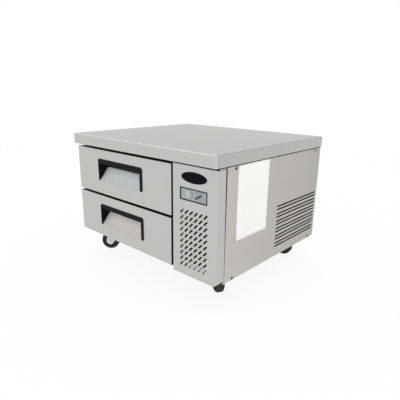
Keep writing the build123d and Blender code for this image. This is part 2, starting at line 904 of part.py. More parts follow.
with BuildPart() as cord_gland:
    with BuildSketch(facing_front(body_back)) as rim:
        with Locations((gland_x, gland_z)):
            Circle(gland_radius)
    extrude(amount=-gland_flange)
    fillet(cord_gland.faces().sort_by(Axis.Y)[-1].edges(), gland_flange / 2)
    with BuildSketch(facing_front(body_back)):
        with Locations((gland_x, gland_z)):
            Circle(gland_neck_radius)
    extrude(amount=panel_sheet + gland_inner_length)
    with BuildSketch(facing_front(machine_back)):
        with Locations((gland_x, gland_z)):
            RegularPolygon(gland_radius, 6)
    extrude(amount=gland_inner_length - gland_flange)
    with BuildSketch(facing_front(body_back + gland_flange + overrun)):
        with Locations((gland_x, gland_z)):
            Circle(gland_bore_radius)
    extrude(amount=gland_flange + gland_inner_length + panel_sheet + 2 * overrun, mode=Mode.SUBTRACT)
cord_gland.part.label = "cord_gland"
export_step(cord_gland.part, "parts/cord_gland.step")

# Badge: a bare oval plate on the cover
with BuildPart() as badge:
    with BuildSketch(facing_front(front_plane)):
        with Locations((body_right - badge_center_from_right, cover_top - badge_center_from_top)):
            Ellipse(badge_width / 2, badge_height / 2)
    extrude(amount=badge_thickness)
    fillet(badge.faces().sort_by(Axis.Y)[0].edges(), badge_edge_radius)
badge.part.label = "badge"
export_step(badge.part, "parts/badge.step")

# Control window: a black bezel, a recessed plate on a closed box, a lens and a dial
with BuildPart() as bezel:
    with BuildSketch(facing_front(front_plane - bezel_proud)):
        with Locations((window_x, window_z)):
            RectangleRounded(window_width, window_height, bezel_corner_radius)
            Rectangle(window_width - 2 * bezel_wall, window_height - 2 * bezel_wall, mode=Mode.SUBTRACT)
    extrude(amount=-(bezel_proud + bezel_depth))
    chamfer(bezel.faces().sort_by(Axis.Y)[0].edges(), handle_edge_radius)
bezel.part.label = "control_bezel"
export_step(bezel.part, "parts/control_bezel.step")

plate_front = front_plane + control_plate_recess
plate_width_clear = window_width - 2 * bezel_wall
plate_height_clear = window_height - 2 * bezel_wall
lens_x = window_x - window_width / 2 + lens_center_from_left
knob_x = window_x + window_width / 2 - knob_center_from_right
with BuildPart() as control_plate:
    with BuildSketch(facing_front(plate_front)):
        with Locations((window_x, window_z)):
            Rectangle(plate_width_clear, plate_height_clear)
    extrude(amount=-(bezel_depth - control_plate_recess))
    with BuildSketch(facing_front(front_plane + bezel_depth)):
        with Locations((window_x, window_z)):
            Rectangle(plate_width_clear + control_box_inset, plate_height_clear + control_box_inset)
    extrude(amount=-(control_box_depth - bezel_depth))
    with BuildSketch(facing_front(plate_front - overrun)):
        with Locations((knob_x, window_z)):
            Circle(knob_shaft_radius + shaft_clearance)
    extrude(amount=-(knob_shaft_length + overrun), mode=Mode.SUBTRACT)
control_plate.part.label = "control_plate"
export_step(control_plate.part, "parts/control_plate.step")

with BuildPart() as lens:
    with BuildSketch(facing_front(plate_front)):
        with Locations((lens_x, window_z)):
            Ellipse(lens_width / 2, lens_height / 2)
    extrude(amount=lens_thickness)
    fillet(lens.faces().sort_by(Axis.Y)[0].edges(), lens_edge_radius)
lens.part.label = "display_lens"
export_step(lens.part, "parts/display_lens.step")

knob_back = plate_front - knob_gap
with BuildPart() as knob:
    with BuildSketch(facing_front(knob_back)):
        with Locations((knob_x, window_z)):
            Circle(knob_radius)
    extrude(amount=knob_disc)
    with BuildSketch(facing_front(knob_back)):
        with Locations((knob_x, window_z)):
            SlotOverall(knob_bar_length, knob_bar_width, rotation=knob_bar_angle)
    extrude(amount=knob_bar_height)
    fillet(knob.faces().sort_by(Axis.Y)[0].edges(), knob_edge_radius)
    with BuildSketch(facing_front(knob_back)):
        with Locations((knob_x, window_z)):
            Circle(knob_shaft_radius)
    extrude(amount=-(knob_shaft_length - knob_gap))
knob.part.label = "thermostat_knob"
export_step(knob.part, "parts/thermostat_knob.step")


def make_coil(name, left, right, low, high, front, back, rows, bend_sides):
    """Writes a coil: upright fins between two margins, tube pairs through them and half-ring bends."""
    middle_x = (left + right) / 2
    middle_y = (front + back) / 2
    lowest = (low + high - (rows - 1) * bend_row_pitch) / 2
    levels = [lowest + row * bend_row_pitch for row in range(rows)]
    with BuildPart() as coil:
        with BuildSketch(facing_front(front)):
            span(left, right, low, high)
            with Locations((middle_x, (low + high) / 2)):
                with GridLocations(fin_pitch, 0, int((right - left - fin_pitch) / fin_pitch), 1):
                    Rectangle(fin_gap, high - low - 2 * fin_margin, mode=Mode.SUBTRACT)
        extrude(amount=-(back - front))
        with BuildSketch(facing_right(left)):
            for level in levels:
                with Locations((middle_y - bend_radius, level), (middle_y + bend_radius, level)):
                    Circle(bend_tube_radius)
        extrude(amount=right - left)
        for level in levels:
            for end_x, side in bend_sides:
                turn = Plane(origin=(end_x, middle_y, level), x_dir=(0, 1, 0), z_dir=(0, 0, 1))
                with BuildLine(turn) as path:
                    ThreePointArc((-bend_radius, 0), (0, -side * bend_radius), (bend_radius, 0))
                with BuildSketch(Plane(origin=path.line @ 0, z_dir=path.line % 0)):
                    Circle(bend_tube_radius)
                sweep()
    coil.part.label = name
    export_step(coil.part, f"parts/{name}.step")


# Condenser coil: its tube bends stand out at the right
coil_left = cold_right + coil_left_gap
coil_right = coil_left + coil_width
coil_front = machine_front + machine_frame_depth + coil_front_gap - machine_frame_bar
coil_back = coil_front + coil_depth
coil_low = body_bottom + coil_base_height
coil_high = coil_low + coil_height
coil_middle = (coil_left + coil_right) / 2
make_coil(
    "condenser_coil",
    coil_left,
    coil_right,
    coil_low,
    coil_high,
    coil_front,
    coil_back,
    bend_rows,
    ((coil_right, 1),),
)

# Shroud: a sheet box round the coil and its fan, standing on the base, with a lip below the coil's front
shroud_back = coil_back + shroud_depth
fan_z = (coil_low + coil_high) / 2
with BuildPart() as condenser_shroud:
    with BuildSketch(facing_front(shroud_back)):
        span(coil_left - shroud_sheet, coil_right, machine_floor, coil_high + shroud_sheet)
        with Locations((coil_middle, fan_z)):
            Circle(fan_opening_radius, mode=Mode.SUBTRACT)
    extrude(amount=shroud_sheet)
    with BuildSketch(Plane.XY.offset(machine_floor)):
        span(coil_left - shroud_sheet, coil_left, coil_front, shroud_back)
    extrude(amount=coil_high + shroud_sheet - machine_floor)
    with BuildSketch(Plane.XY.offset(coil_high)):
        span(coil_left, coil_right, coil_front, shroud_back)
    extrude(amount=shroud_sheet)
    with BuildSketch(Plane.XY.offset(coil_low)):
        span(coil_left, coil_right, coil_front, shroud_back)
    extrude(amount=-shroud_sheet)
    with BuildSketch(facing_front(coil_front)):
        span(coil_right - shroud_lip_width, coil_right, coil_low - shroud_lip_height, coil_low)
    extrude(amount=-shroud_sheet)
condenser_shroud.part.label = "condenser_shroud"
export_step(condenser_shroud.part, "parts/condenser_shroud.step")


def make_fan(name, x, y, z, radius, hub_radius, hub_depth, count, shaft_radius):
    """Writes a fan: a hub round its shaft, with tilted blades that widen to rounded tips."""
    with BuildPart() as fan:
        with BuildSketch(facing_front(y)):
            with Locations((x, z)):
                Circle(hub_radius)
        extrude(amount=hub_depth)
        fillet(fan.faces().sort_by(Axis.Y)[0].edges(), hub_depth / 4)
        root = hub_radius / 2
        chord = 2 * math.pi * radius * condenser_blade_share / count
        for blade in range(count):
            turn = 2 * math.pi * blade / count
            tilt = math.radians(fan_blade_tilt)
            out = Vector(math.cos(turn), 0, math.sin(turn))
            round_way = Vector(-math.sin(turn), 0, math.cos(turn))
            normal = round_way * math.sin(tilt) - Vector(0, 1, 0) * math.cos(tilt)
            middle = Vector(x, y - hub_depth / 2, z)
            with BuildSketch(Plane(origin=middle, x_dir=out, z_dir=normal)):
                with BuildLine():
                    tip_low = (radius * math.cos(chord / radius / 2), -chord / 2)
                    tip_high = (radius * math.cos(chord / radius / 2), chord / 2)
                    Line((root, -hub_radius / 3), tip_low)
                    ThreePointArc(tip_low, (radius, 0), tip_high)
                    Line(tip_high, (root, hub_radius / 3))
                    Line((root, hub_radius / 3), (root, -hub_radius / 3))
                make_face()
            extrude(amount=fan_blade_sheet / 2, both=True)
        with BuildSketch(facing_front(y + overrun)):
            with Locations((x, z)):
                Circle(shaft_radius + shaft_clearance)
        extrude(amount=hub_depth + 2 * overrun, mode=Mode.SUBTRACT)
    fan.part.label = name
    export_step(fan.part, f"parts/{name}.step")


# Condenser fan and its motor: the motor hangs on two crossed arms behind the shroud
fan_back = shroud_back - shroud_sheet - fan_back_gap
make_fan(
    "condenser_fan",
    coil_middle,
    fan_back,
    fan_z,
    condenser_fan_radius,
    condenser_hub_radius,
    condenser_hub_depth,
    condenser_blade_count,
    fan_shaft_radius,
)
arm_front = shroud_back + fan_back_gap
with BuildPart() as condenser_motor:
    with BuildSketch(facing_front(arm_front)):
        with Locations((coil_middle, fan_z)):
            Circle(motor_radius)
    extrude(amount=-motor_length)
    fillet(condenser_motor.faces().sort_by(Axis.Y)[-1].edges(), motor_edge_radius)
    with BuildSketch(facing_front(arm_front)):
        with Locations((coil_middle, fan_z)):
            Circle(fan_shaft_radius)
    extrude(amount=arm_front - fan_back + condenser_hub_depth)
    arm_span = 2 * (motor_arm_reach + motor_arm_sheet)
    with BuildSketch(facing_front(arm_front)):
        with Locations((coil_middle, fan_z)):
            Rectangle(arm_span, motor_arm_width)
            Rectangle(motor_arm_width, arm_span)
    extrude(amount=-motor_arm_sheet)
    with BuildSketch(facing_front(arm_front)):
        with Locations((coil_middle, fan_z)):
            Rectangle(arm_span, motor_arm_width)
            Rectangle(motor_arm_width, arm_span)
            Rectangle(2 * motor_arm_reach, 2 * motor_arm_reach, mode=Mode.SUBTRACT)
    extrude(amount=arm_front - shroud_back)
condenser_motor.part.label = "condenser_fan_motor"
export_step(condenser_motor.part, "parts/condenser_fan_motor.step")

# Compressor: a welded shell with its foot plate, terminal cover and tube stubs
box_back = machine_back - box_back_gap
compressor_x = cold_right + compressor_center_from_left
compressor_y = (shroud_back + fan_back_gap + motor_length + box_back - box_depth) / 2 + compressor_setback
foot_spread_x = foot_plate_width - 2 * foot_inset
foot_spread_y = foot_plate_length - 2 * foot_inset
foot_z = machine_floor + grommet_height - grommet_neck_height / 2
shell_low = foot_z + foot_plate_sheet
shell_high = shell_low + compressor_height
seam_z = shell_low + compressor_height * compressor_seam_share
stub_x = compressor_x - compressor_width / 4
stub_top = shell_high + compressor_stub_rise
suction_y = compressor_y + compressor_length / 4
discharge_y = compressor_y - compressor_length / 4
with BuildPart() as compressor:
    with BuildSketch(Plane.XY.offset(shell_low)):
        with Locations((compressor_x, compressor_y)):
            Ellipse(compressor_width / 2, compressor_length / 2)
    extrude(amount=compressor_height)
    fillet(compressor.faces().sort_by(Axis.Z)[-1].edges(), compressor_dome_radius)
    fillet(compressor.faces().sort_by(Axis.Z)[0].edges(), compressor_base_radius)
    with BuildSketch(Plane.XY.offset(seam_z)):
        with Locations((compressor_x, compressor_y)):
            Ellipse(compressor_width / 2 + compressor_seam, compressor_length / 2 + compressor_seam)
    extrude(amount=compressor_seam_height)
    with BuildSketch(Plane.XY.offset(foot_z)):
        with Locations((compressor_x, compressor_y)):
            RectangleRounded(foot_plate_width, foot_plate_length, foot_plate_corner_radius)
            with GridLocations(foot_spread_x, foot_spread_y, 2, 2):
                Circle(grommet_neck_radius, mode=Mode.SUBTRACT)
    extrude(amount=foot_plate_sheet)
    with BuildSketch(facing_right(compressor_x)):
        with Locations((compressor_y, seam_z - terminal_height / 3)):
            RectangleRounded(terminal_width, terminal_height, terminal_edge_radius)
    extrude(amount=compressor_width / 2 + terminal_depth / 2)
    with BuildSketch(Plane.XY.offset(seam_z)):
        with Locations((stub_x, suction_y), (stub_x, discharge_y)):
            Circle(compressor_stub_radius)
    extrude(amount=stub_top - seam_z)
compressor.part.label = "compressor"
export_step(compressor.part, "parts/compressor.step")

with BuildPart() as feet:
    with BuildSketch(Plane.XY.offset(machine_floor)):
        with Locations((compressor_x, compressor_y)):
            with GridLocations(foot_spread_x, foot_spread_y, 2, 2):
                Circle(grommet_radius)
    extrude(amount=foot_z - machine_floor)
    with BuildSketch(Plane.XY.offset(foot_z)):
        with Locations((compressor_x, compressor_y)):
            with GridLocations(foot_spread_x, foot_spread_y, 2, 2):
                Circle(grommet_neck_radius - shaft_clearance)
    extrude(amount=grommet_neck_height)
feet.part.label = "compressor_feet"
export_step(feet.part, "parts/compressor_feet.step")

# Refrigerant lines: discharge to the coil, suction to the cold space, and liquid through the drier
liquid_x = coil_left + drier_radius
liquid_z = coil_low + bend_row_pitch / 2
drier_y = shroud_back + motor_length + drier_radius
line_routes = (
    (
        (stub_x, discharge_y, stub_top),
        (stub_x, discharge_y, coil_high + bend_row_pitch / 2),
        (stub_x, coil_back, coil_high + bend_row_pitch / 2),
        (stub_x, coil_back, coil_high + shroud_sheet),
    ),
    (
        (stub_x, suction_y, stub_top),
        (stub_x, suction_y, coil_high + bend_row_pitch),
        (cold_right, suction_y, coil_high + bend_row_pitch),
    ),
    (
        (liquid_x, shroud_back, liquid_z),
        (liquid_x, drier_y + drier_length + 2 * line_bend_radius, liquid_z),
        (cold_right, drier_y + drier_length + 2 * line_bend_radius, liquid_z),
    ),
)
with BuildPart() as lines:
    for route in line_routes:
        with BuildLine() as run:
            FilletPolyline(*route, radius=line_bend_radius)
        with BuildSketch(Plane(origin=run.line @ 0, z_dir=run.line % 0)):
            Circle(line_radius)
        sweep()
    with BuildSketch(Plane.XY.offset(liquid_z)):
        with BuildLine():
            Polyline(
                (liquid_x, drier_y),
                (liquid_x + line_radius, drier_y),
                (liquid_x + drier_radius, drier_y + drier_cone),
                (liquid_x + drier_radius, drier_y + drier_length - drier_cone),
                (liquid_x + line_radius, drier_y + drier_length),
                (liquid_x, drier_y + drier_length),
                close=True,
            )
        make_face()
    revolve(axis=Axis((liquid_x, drier_y, liquid_z), (0, 1, 0)))
lines.part.label = "refrigerant_lines"
export_step(lines.part, "parts/refrigerant_lines.step")

# Electrical box on the base, behind the compressor
box_left = cold_right + box_left_gap
with BuildPart() as electrical_box:
    with BuildSketch(Plane.XY.offset(machine_floor)):
        span(box_left, box_left + box_width, box_back - box_depth, box_back)
    extrude(amount=box_height - box_lid_height)
    with BuildSketch(Plane.XY.offset(machine_floor + box_height - box_lid_height)):
        span(
            box_left - box_lid_overlap,
            box_left + box_width + box_lid_overlap,
            box_back - box_depth - box_lid_overlap,
            box_back + box_lid_overlap,
        )
    extrude(amount=box_lid_height)
    fillet(electrical_box.faces().sort_by(Axis.Z)[-1].edges(), box_edge_radius)
electrical_box.part.label = "electrical_box"
export_step(electrical_box.part, "parts/electrical_box.step")

# Evaporator: a cover with a fan guard, a coil between end plates, a motor on the back wall and a fan
evaporator_left = liner_left + evaporator_side_gap
evaporator_right = liner_right - evaporator_side_gap
evaporator_low = liner_floor + evaporator_floor_gap
evaporator_high = liner_ceiling - evaporator_ceiling_gap
evaporator_fan_z = evaporator_high - evaporator_fan_from_top
intake_low = evaporator_low + intake_foot_gap
intake_limit = evaporator_fan_z - evaporator_opening_radius - intake_fan_gap
intake_steps = int((intake_limit - intake_low) / intake_slot_pitch)
intake_length = (evaporator_right - evaporator_left - intake_middle_gap) / 2 - intake_side_margin
with BuildPart() as evaporator_cover:
    with BuildSketch(facing_front(evaporator_front)) as cover_face:
        span(evaporator_left, evaporator_right, evaporator_low, evaporator_high)
        fillet(cover_face.vertices(), evaporator_corner_radius)
    extrude(amount=-evaporator_depth)
    offset(amount=-evaporator_sheet, openings=evaporator_cover.faces().sort_by(Axis.Y)[-1])
    with BuildSketch(facing_front(evaporator_front - overrun)):
        with Locations((liner_middle, evaporator_fan_z)):
            Circle(evaporator_opening_radius)
        with Locations((liner_middle, intake_low + intake_steps * intake_slot_pitch / 2)):
            with GridLocations(intake_length + intake_middle_gap, intake_slot_pitch, 2, intake_steps + 1):
                SlotOverall(intake_length, intake_slot_width)
    extrude(amount=-2 * overrun, mode=Mode.SUBTRACT)
    with BuildSketch(facing_front(evaporator_front)):
        with Locations((liner_middle, evaporator_fan_z)):
            for share in guard_ring_shares:
                Circle(evaporator_opening_radius * share)
                Circle(evaporator_opening_radius * share - guard_ring_width, mode=Mode.SUBTRACT)
            bar = 2 * evaporator_opening_radius
            Rectangle(bar, guard_ring_width)
            Rectangle(guard_ring_width, bar)
    extrude(amount=-guard_sheet)
evaporator_cover.part.label = "evaporator_cover"
export_step(evaporator_cover.part, "parts/evaporator_cover.step")

evaporator_fan_back = evaporator_front + guard_sheet + evaporator_fan_front_gap + evaporator_hub_depth
make_fan(
    "evaporator_fan",
    liner_middle,
    evaporator_fan_back,
    evaporator_fan_z,
    evaporator_fan_radius,
    evaporator_hub_radius,
    evaporator_hub_depth,
    evaporator_blade_count,
    fan_shaft_radius,
)
evaporator_motor_front = evaporator_fan_back + evaporator_motor_gap
with BuildPart() as evaporator_motor:
    with BuildSketch(facing_front(evaporator_motor_front)):
        with Locations((liner_middle, evaporator_fan_z)):
            Circle(evaporator_motor_radius)
    extrude(amount=-(liner_back - evaporator_motor_front))
    fillet(evaporator_motor.faces().sort_by(Axis.Y)[0].edges(), motor_edge_radius)
    with BuildSketch(facing_front(evaporator_motor_front)):
        with Locations((liner_middle, evaporator_fan_z)):
            Circle(fan_shaft_radius)
    extrude(amount=evaporator_motor_gap + evaporator_hub_depth)
evaporator_motor.part.label = "evaporator_fan_motor"
export_step(evaporator_motor.part, "parts/evaporator_fan_motor.step")

evaporator_coil_low = evaporator_low + evaporator_sheet
evaporator_coil_left = evaporator_left + evaporator_coil_inset
evaporator_coil_right = evaporator_right - evaporator_coil_inset
evaporator_coil_back = liner_back - evaporator_coil_back_gap
make_coil(
    "evaporator_coil",
    evaporator_coil_left,
    evaporator_coil_right,
    evaporator_coil_low,
    evaporator_coil_low + evaporator_coil_height,
    evaporator_coil_back - evaporator_coil_depth,
    evaporator_coil_back,
    evaporator_bend_rows,
    ((evaporator_coil_left, -1), (evaporator_coil_right, 1)),
)

# Casters: one wheel and one fork are drawn at the origin, trailing towards +X, then placed four times
crown_low = wheel_radius + wheel_radius + fork_crown_gap
crown_high = crown_low + fork_crown_thickness
plate_low = caster_height - plate_thickness
cup_low = plate_low - cup_height
leg_inner = wheel_width / 2 + wheel_hub_overhang + fork_hub_gap
leg_outer = leg_inner + fork_sheet
caster_x = body_right - caster_side_inset
caster_front_y = front_plane + caster_front_inset
caster_rear_y = body_back - caster_rear_inset
caster_places = {
    "front_left": (-caster_x, caster_front_y, front_left_angle),
    "front_right": (caster_x, caster_front_y, front_right_angle),
    "rear_left": (-caster_x, caster_rear_y, rear_left_angle),
    "rear_right": (caster_x, caster_rear_y, rear_right_angle),
}

with BuildPart() as caster_plates:
    corners = [(x, y) for x, y, _ in caster_places.values()]
    with BuildSketch(Plane.XY.offset(plate_low)):
        with Locations(*corners):
            RectangleRounded(plate_length, plate_width, plate_corner_radius)
    extrude(amount=plate_thickness)
    with BuildSketch(Plane.XY.offset(cup_low)):
        with Locations(*corners):
            Circle(cup_radius)
    extrude(amount=cup_height)
    fillet(caster_plates.faces().group_by(Axis.Z)[0].edges(), cup_edge_radius)
    with BuildSketch(Plane.XY.offset(plate_low)):
        with Locations(*corners):
            with GridLocations(bolt_spacing_length, bolt_spacing_width, 2, 2):
                RegularPolygon(bolt_head_radius, 6)
    extrude(amount=-bolt_head_height)
    with BuildSketch(Plane.XY.offset(cup_low)):
        with Locations(*corners):
            Circle(kingpin_radius)
    extrude(amount=-(cup_low - crown_low + face_clearance))
    with BuildSketch(Plane.XY.offset(crown_low - face_clearance)):
        with Locations(*corners):
            Circle(kingpin_nut_radius)
    extrude(amount=-kingpin_nut_height)
caster_plates.part.label = "caster_plates"
export_step(caster_plates.part, "parts/caster_plates.step")

with BuildPart() as fork:
    with BuildSketch(Plane.XY.offset(crown_low)):
        span(-fork_crown_back, fork_crown_front, -leg_outer, leg_outer)
    extrude(amount=fork_crown_thickness)
    fillet(fork.edges().filter_by(Axis.Z), fork_sheet * 2)
    with BuildSketch(Plane.XY.offset(crown_high)):
        Circle(fork_dome_radius)
    extrude(amount=cup_low - face_clearance - crown_high)
    with BuildSketch(facing_front(leg_outer)):
        with BuildLine():
            CenterArc((caster_trail, wheel_radius), fork_leg_radius, 0, 360)
            Line(
                (-fork_crown_back * fork_leg_share, crown_low),
                (fork_crown_front * fork_leg_share, crown_low),
            )
        make_hull()
        with Locations((caster_trail, wheel_radius)):
            Circle(axle_radius + shaft_clearance, mode=Mode.SUBTRACT)
    extrude(amount=fork_sheet)
    mirror(about=Plane.XZ)
    with BuildSketch(Plane.XY.offset(crown_low - overrun)):
        Circle(kingpin_radius + shaft_clearance)
    extrude(amount=cup_low - crown_low + 2 * overrun, mode=Mode.SUBTRACT)

with BuildPart() as axle:
    with BuildSketch(facing_front(leg_outer)):
        with Locations((caster_trail, wheel_radius)):
            Circle(axle_radius)
    extrude(amount=2 * leg_outer)
    with BuildSketch(facing_front(leg_outer)):
        with Locations((caster_trail, wheel_radius)):
            RegularPolygon(axle_head_radius, 6)
    extrude(amount=-axle_head_height)
    with BuildSketch(facing_front(-leg_outer)):
        with Locations((caster_trail, wheel_radius)):
            RegularPolygon(axle_head_radius, 6)
    extrude(amount=axle_head_height)

# Wheel: half of its section, from the bore out to the tread, turned about the axle
with BuildPart() as wheel:
    with BuildSketch(Plane.XY) as section:
        bore = axle_radius + shaft_clearance
        half = wheel_width / 2
        hub_half = half + wheel_hub_overhang
        with BuildLine():
            Polyline(
                (bore, 0),
                (bore, hub_half),
                (wheel_hub_radius, hub_half),
                (wheel_hub_radius, half - wheel_recess),
                (wheel_rim_radius, half - wheel_recess),
                (wheel_rim_radius, half),
                (wheel_shoulder_radius, half),
            )
            RadiusArc(
                (wheel_shoulder_radius, half),
                (wheel_radius, wheel_crown_width / 2),
                wheel_radius - wheel_shoulder_radius + overrun,
            )
            Polyline((wheel_radius, wheel_crown_width / 2), (wheel_radius, 0), (bore, 0))
        make_face()
        mirror(about=Plane.XZ)
    revolve(axis=Axis.Y)

for corner, (corner_x, corner_y, angle) in caster_places.items():
    place = Location((corner_x, corner_y, 0), (0, 0, angle))
    placed_fork = Compound(children=[place * fork.part, place * axle.part])
    placed_fork.label = f"{corner}_fork"
    export_step(placed_fork, f"parts/{corner}_fork.step")
    placed_wheel = place * Pos(caster_trail, 0, wheel_radius) * wheel.part
    placed_wheel.label = f"{corner}_wheel"
    export_step(placed_wheel, f"parts/{corner}_wheel.step")
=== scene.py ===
# Refrigerated chef base: two drawers, a machine compartment at the right, a flat top and four casters.
# Metres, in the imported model's frame: +X right, +Y back, +Z up, the floor at zero. The front looks along -Y.
import json
import math

import bmesh
import bpy
import numpy as np
from mathutils import Matrix, Vector


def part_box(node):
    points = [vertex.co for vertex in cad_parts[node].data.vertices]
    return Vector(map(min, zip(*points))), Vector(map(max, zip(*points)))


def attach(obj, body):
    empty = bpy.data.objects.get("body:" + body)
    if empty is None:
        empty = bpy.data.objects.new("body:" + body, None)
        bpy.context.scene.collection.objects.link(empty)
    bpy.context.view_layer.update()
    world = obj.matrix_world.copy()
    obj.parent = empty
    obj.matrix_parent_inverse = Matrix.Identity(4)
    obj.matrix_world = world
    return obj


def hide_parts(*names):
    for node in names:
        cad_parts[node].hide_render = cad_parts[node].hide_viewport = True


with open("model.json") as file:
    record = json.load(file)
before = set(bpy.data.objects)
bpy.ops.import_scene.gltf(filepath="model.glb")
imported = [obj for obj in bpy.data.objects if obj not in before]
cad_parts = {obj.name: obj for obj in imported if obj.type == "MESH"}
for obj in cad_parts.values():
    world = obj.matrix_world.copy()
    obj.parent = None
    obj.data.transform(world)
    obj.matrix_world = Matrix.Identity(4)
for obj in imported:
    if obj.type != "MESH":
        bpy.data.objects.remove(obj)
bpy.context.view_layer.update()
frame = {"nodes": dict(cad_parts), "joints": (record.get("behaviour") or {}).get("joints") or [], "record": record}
nodes = frame["nodes"]
scene = bpy.context.scene
print("frame loaded:", len(nodes), "nodes")

# Camera, at the photograph's viewpoint
camera = {
    "place": (1.28584, -1.40725, 0.8546),
    "turn": -41.967,  # degrees left of straight ahead
    "tilt": 16.231,  # degrees downwards
    "roll": 0.8165,
    "lens": 34.4818,
    "sensor": 36.0,
    "nearest": 0.01,
}


def aimCamera(look):
    # forward, right and up from turn and tilt, then a roll about forward
    turn, tilt, roll = (math.radians(look[key]) for key in ("turn", "tilt", "roll"))
    forward = Vector((math.sin(turn) * math.cos(tilt), math.cos(turn) * math.cos(tilt), -math.sin(tilt)))
    right = Vector((math.cos(turn), -math.sin(turn), 0))
    up = right.cross(forward)
    across = right * math.cos(roll) + up * math.sin(roll)
    above = up * math.cos(roll) - right * math.sin(roll)
    data = bpy.data.cameras.new("photoCamera")
    data.lens = look["lens"]
    data.sensor_width = look["sensor"]
    data.clip_start = look["nearest"]
    body = bpy.data.objects.new("photoCamera", data)
    turnMatrix = Matrix((across, above, -forward)).transposed().to_4x4()
    body.matrix_world = Matrix.Translation(look["place"]) @ turnMatrix
    scene.collection.objects.link(body)
    scene.camera = body


aimCamera(camera)
print("camera placed")


class Flow:
    # one node socket, so that shader maths reads as plain expressions

    def __init__(self, tree, socket):
        self.tree = tree
        self.socket = socket

    def make(self, kind, settings=None, inputs=None, output=0):
        # any node: its settings first, then the values or links of its sockets
        node = self.tree.nodes.new(kind)
        for key, value in (settings or {}).items():
            setattr(node, key, value)
        for key, value in (inputs or {}).items():
            if isinstance(value, Flow):
                self.tree.links.new(value.socket, node.inputs[key])
            else:
                node.inputs[key].default_value = value
        return Flow(self.tree, node.outputs[output])

    def maths(self, operation, *values):
        return self.make("ShaderNodeMath", {"operation": operation}, dict(enumerate(values)))

    def __add__(self, other):
        return self.maths("ADD", self, other)

    __radd__ = __add__

    def __sub__(self, other):
        return self.maths("SUBTRACT", self, other)

    def __rsub__(self, other):
        return self.maths("SUBTRACT", other, self)

    def __mul__(self, other):
        return self.maths("MULTIPLY", self, other)

    __rmul__ = __mul__

    def __truediv__(self, other):
        return self.maths("DIVIDE", self, other)

    def __gt__(self, other):
        return self.maths("GREATER_THAN", self, other)

    def __lt__(self, other):
        return self.maths("LESS_THAN", self, other)

    def __abs__(self):
        return self.maths("ABSOLUTE", self)

    def least(self, other):
        return self.maths("MINIMUM", self, other)

    def most(self, other):
        return self.maths("MAXIMUM", self, other)

    def clamp(self):
        return self.least(1.0).most(0.0)

    def blend(self, first, second):
        # a colour between two colours, by this value
        inputs = {"Factor": self, "A": first, "B": second}
        return self.make("ShaderNodeMix", {"data_type": "RGBA"}, inputs, output=2)

    def vector(self, operation, other, output=0):
        return self.make("ShaderNodeVectorMath", {"operation": operation}, {0: self, 1: other}, output)

    def split(self):
        # the three parts of a vector
        node = self.tree.nodes.new("ShaderNodeSeparateXYZ")
        self.tree.links.new(self.socket, node.inputs[0])
        return [Flow(self.tree, socket) for socket in node.outputs]

    def noise(self, scale, detail=2.0, roughness=0.5, stretch=(1, 1, 1)):
        # noise on this vector, drawn out along the axes where stretch is small
        inputs = {
            "Vector": self.vector("MULTIPLY", stretch),
            "Scale": scale,
            "Detail": detail,
            "Roughness": roughness,
        }
        return self.make("ShaderNodeTexNoise", {}, inputs)


def newFinish(name, steady=None):
    # a material with a Principled shader; returns it, its shader and a Flow of the Object coordinates
    material = bpy.data.materials.new(name)
    material.use_nodes = True
    tree = material.node_tree
    tree.nodes.clear()
    out = tree.nodes.new("ShaderNodeOutputMaterial")
    shader = tree.nodes.new("ShaderNodeBsdfPrincipled")
    tree.links.new(shader.outputs[0], out.inputs[0])
    for key, value in (steady or {}).items():
        shader.inputs[key].default_value = value
    place = tree.nodes.new("ShaderNodeTexCoord").outputs["Object"]
    return material, shader, Flow(tree, place)


def feed(shader, place, links):
    for key, value in links.items():
        place.tree.links.new(value.socket, shader.inputs[key])


def bumped(place, height, strength, distance):
    return place.make("ShaderNodeBump", {}, {"Height": height, "Strength": strength, "Distance": distance})


def facing(place):
    # how much the surface faces along x, y and z, each from 0 to 1
    normal = Flow(place.tree, place.tree.nodes.new("ShaderNodeNewGeometry").outputs["Normal"])
    return [abs(part) for part in normal.split()]


def shaded(tone, share=1.0):
    # a tone made lighter or darker by a share, as a shader colour
    return (*(min(1.0, part * share) for part in tone), 1.0)


brushed = {
    "grainScale": 1500.0,
    "grainShare": 0.012,  # how far the grain is drawn out: this share of the scale along it
    "grainNoise": (3.0, 0.6),  # detail and roughness of the noise
    "grainTone": 0.05,
    "grainRough": 0.12,
    "grainBump": 0.00003,
    "turnedFrom": 0.7,  # faces that look along the grain by more than this have it turned
    "fineScale": 60.0,
    "fineNoise": (3.0, 0.55),
    "fineTone": 0.05,
    "cloudScale": 2.2,
    "cloudRough": 0.05,
    "darkest": 0.5,  # shares of the tone between which the shade moves
    "lightest": 1.5,
    "paintedShadeTone": 0.006,  # of the painted black shade beside the steel
    "paintedShadeRough": 0.6,
}


